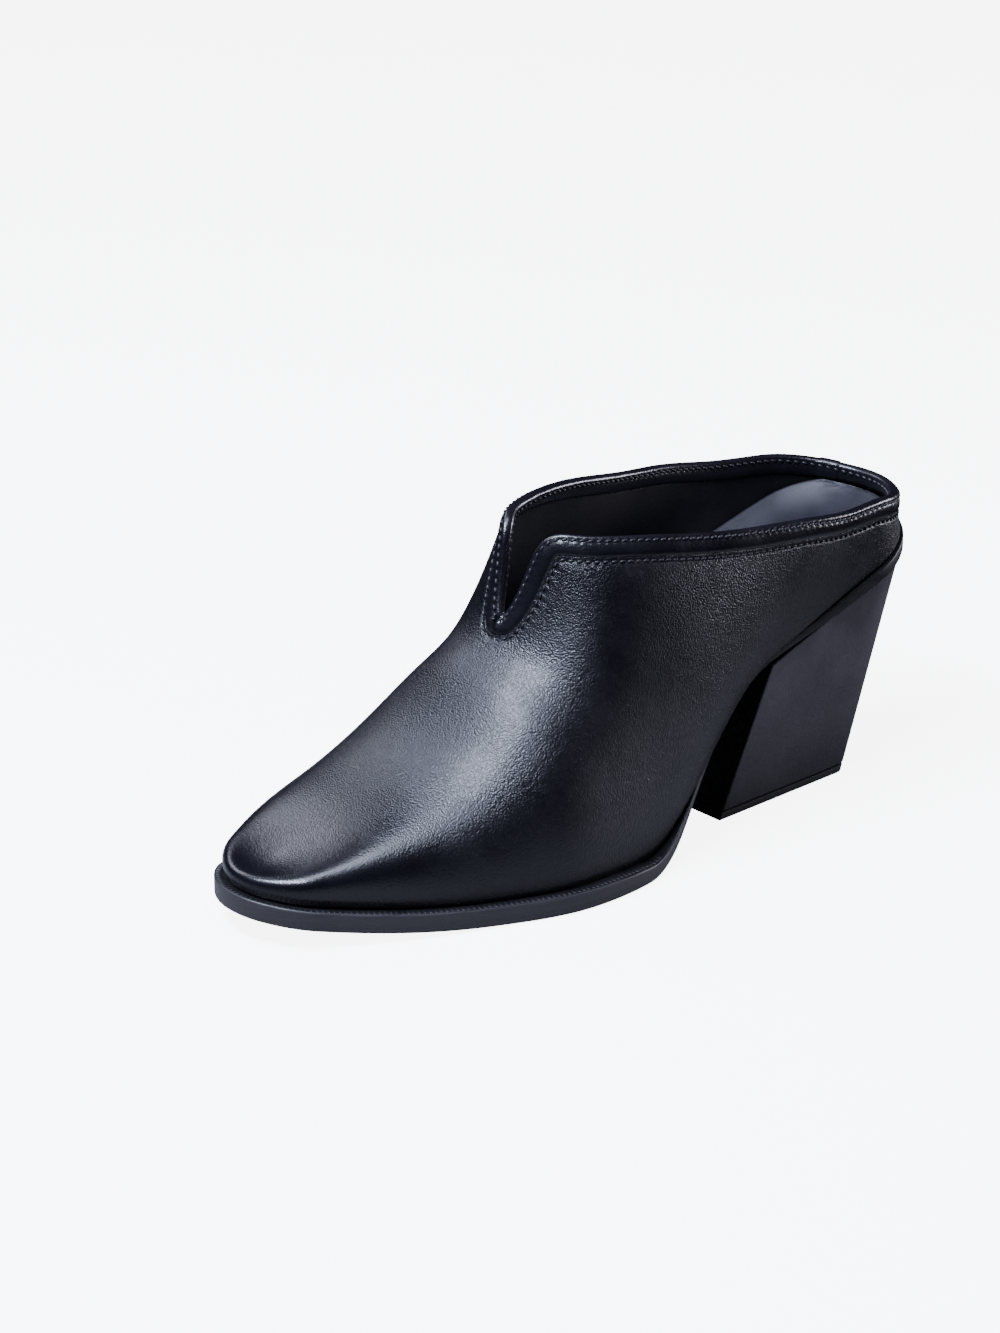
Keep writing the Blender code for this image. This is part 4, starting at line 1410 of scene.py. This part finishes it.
class MULE_OT_heel(bpy.types.Operator):
    """Make the covered heel and its top lift"""

    bl_idname = "mule.heel"
    bl_label = "Heel and lift"

    def execute(self, context):
        _, colours = settings()
        block = make_heel_part("heel_cover", LIFT_THICKNESS + CLEARANCE, None)
        bevel(block, HEEL_ARRIS)
        paint(block, heel_material(tuple(colours.heel), tuple(colours.black_and_shade)))
        finish_piece(block, "heel_cover", "heel_block")
        lift = make_heel_part("heel_lift", 0.0, LIFT_THICKNESS)
        bevel(lift, LIFT_ARRIS, 2)
        black_and_shade = tuple(colours.black_and_shade)
        paint(lift, speckled("Lift rubber", black_and_shade, 0.7, 2400.0, 4.0, (0.6, 0.8), 0.00006))
        finish_piece(lift, "lift_rubber", "heel_top_lift")
        return {"FINISHED"}


class MULE_OT_stage(bpy.types.Operator):
    """Set the floor, the lights and the camera"""

    bl_idname = "mule.stage"
    bl_label = "Stage"

    def execute(self, context):
        _, colours = settings()
        make_floor(tuple(colours.floor))
        make_world()
        for row in LIGHTS:
            make_light(dict(zip(LIGHT_COLUMNS, row)))
        make_camera()
        return {"FINISHED"}


def make_floor(colour):
    """Pale floor that lights the shoe only from close by."""
    size = FLOOR_SIZE
    corners = [(-size, -size, 0), (size, -size, 0), (size, size, 0), (-size, size, 0)]
    mesh = bpy.data.meshes.new("floor")
    mesh.from_pydata(corners, [], [(0, 1, 2, 3)])
    floor = link("floor", mesh)
    material = bpy.data.materials.new("Pale floor")
    material.use_nodes = True
    nodes = Nodes(material.node_tree)
    shader = material.node_tree.nodes["Principled BSDF"]
    shader.inputs["Roughness"].default_value = 0.9
    shader.inputs["Specular IOR Level"].default_value = 0.0
    place = nodes.add("ShaderNodeTexCoord").outputs["Object"]
    away = nodes.vector("LENGTH", {0: place}).outputs["Value"]
    near = nodes.ramp(away, *FLOOR_FADE, 0.24, 0.0)
    seen = nodes.add("ShaderNodeLightPath").outputs["Is Camera Ray"]
    lit = nodes.math("MAXIMUM", near, seen)
    nodes.feed(shader.inputs["Base Color"], nodes.mix(lit, (0.01, 0.01, 0.01, 1.0), colour))
    glow = nodes.mix(seen, (0.0, 0.0, 0.0, 1.0), (0.98, 0.98, 1.0, 1.0))
    nodes.feed(shader.inputs["Emission Color"], glow)
    shader.inputs["Emission Strength"].default_value = FLOOR_GLOW
    paint(floor, material)


def make_world():
    """Pale behind the shoe, dim and darker towards the horizon in its reflections."""
    world = bpy.data.worlds.new("studio")
    world.use_nodes = True
    bpy.context.scene.world = world
    nodes = Nodes(world.node_tree)
    shade = world.node_tree.nodes["Background"]
    height = nodes.parts(nodes.add("ShaderNodeTexCoord").outputs["Generated"])["Z"]
    dim, dark = (0.03, 0.03, 0.038, 1.0), (0.002, 0.002, 0.003, 1.0)
    room = nodes.mix(nodes.ramp(height, 0.05, 0.9), dark, dim)
    seen = nodes.add("ShaderNodeLightPath").outputs["Is Camera Ray"]
    nodes.feed(shade.inputs["Color"], nodes.mix(seen, room, (7.5, 7.5, 7.6, 1.0)))


def make_light(row):
    """One soft box that faces its point."""
    data = bpy.data.lights.new(row["name"], "AREA")
    data.shape = "RECTANGLE"
    data.size = row["wide"]
    data.size_y = row["deep"]
    data.energy = row["power"]
    data.color = row["colour"]
    lamp = link(row["name"], data)
    lamp.location = row["place"]
    ahead = Vector(row["aim"]) - Vector(row["place"])
    lamp.rotation_euler = ahead.to_track_quat("-Z", "Y").to_euler()


def make_camera():
    """The camera, where the photograph was taken from."""
    data = bpy.data.cameras.new("photo_camera")
    data.sensor_fit = "HORIZONTAL"
    data.sensor_width = SENSOR_WIDTH
    data.lens = CAMERA_LENS
    data.clip_start = 0.05
    data.clip_end = 40.0
    camera = link("photo_camera", data)
    camera.location = CAMERA_PLACE
    tilt = math.radians(90 - CAMERA_ELEVATION)
    camera.rotation_euler = Euler((tilt, 0.0, math.radians(CAMERA_AZIMUTH)))
    bpy.context.scene.camera = camera


class MULE_PT_pieces(bpy.types.Panel):
    """Lists the pieces of the mule and their settings"""

    bl_label = "Block heel mule"
    bl_space_type = "VIEW_3D"
    bl_region_type = "UI"
    bl_category = "Mule"

    def draw(self, context):
        for operator in OPERATORS:
            self.layout.operator(operator.bl_idname)
        for group in (context.scene.mule_sizes, context.scene.mule_colours):
            for key in group.__annotations__:
                self.layout.prop(group, key)


OPERATORS = (MULE_OT_upper, MULE_OT_tape, MULE_OT_sock, MULE_OT_sole, MULE_OT_heel, MULE_OT_stage)
CLASSES = (MuleSizes, MuleColours) + OPERATORS + (MULE_PT_pieces,)


def register():
    """Makes the settings, the operators and the panel known."""
    for item in CLASSES:
        bpy.utils.register_class(item)
    bpy.types.Scene.mule_sizes = bpy.props.PointerProperty(type=MuleSizes)
    bpy.types.Scene.mule_colours = bpy.props.PointerProperty(type=MuleColours)


def unregister():
    """Takes them away again."""
    del bpy.types.Scene.mule_colours
    del bpy.types.Scene.mule_sizes
    for item in reversed(CLASSES):
        bpy.utils.unregister_class(item)


def main():
    """Makes every piece and the stage."""
    register()
    bpy.ops.mule.upper()
    bpy.ops.mule.tape()
    bpy.ops.mule.sock()
    bpy.ops.mule.sole()
    bpy.ops.mule.heel()
    bpy.ops.mule.stage()


if __name__ == "__main__":
    main()
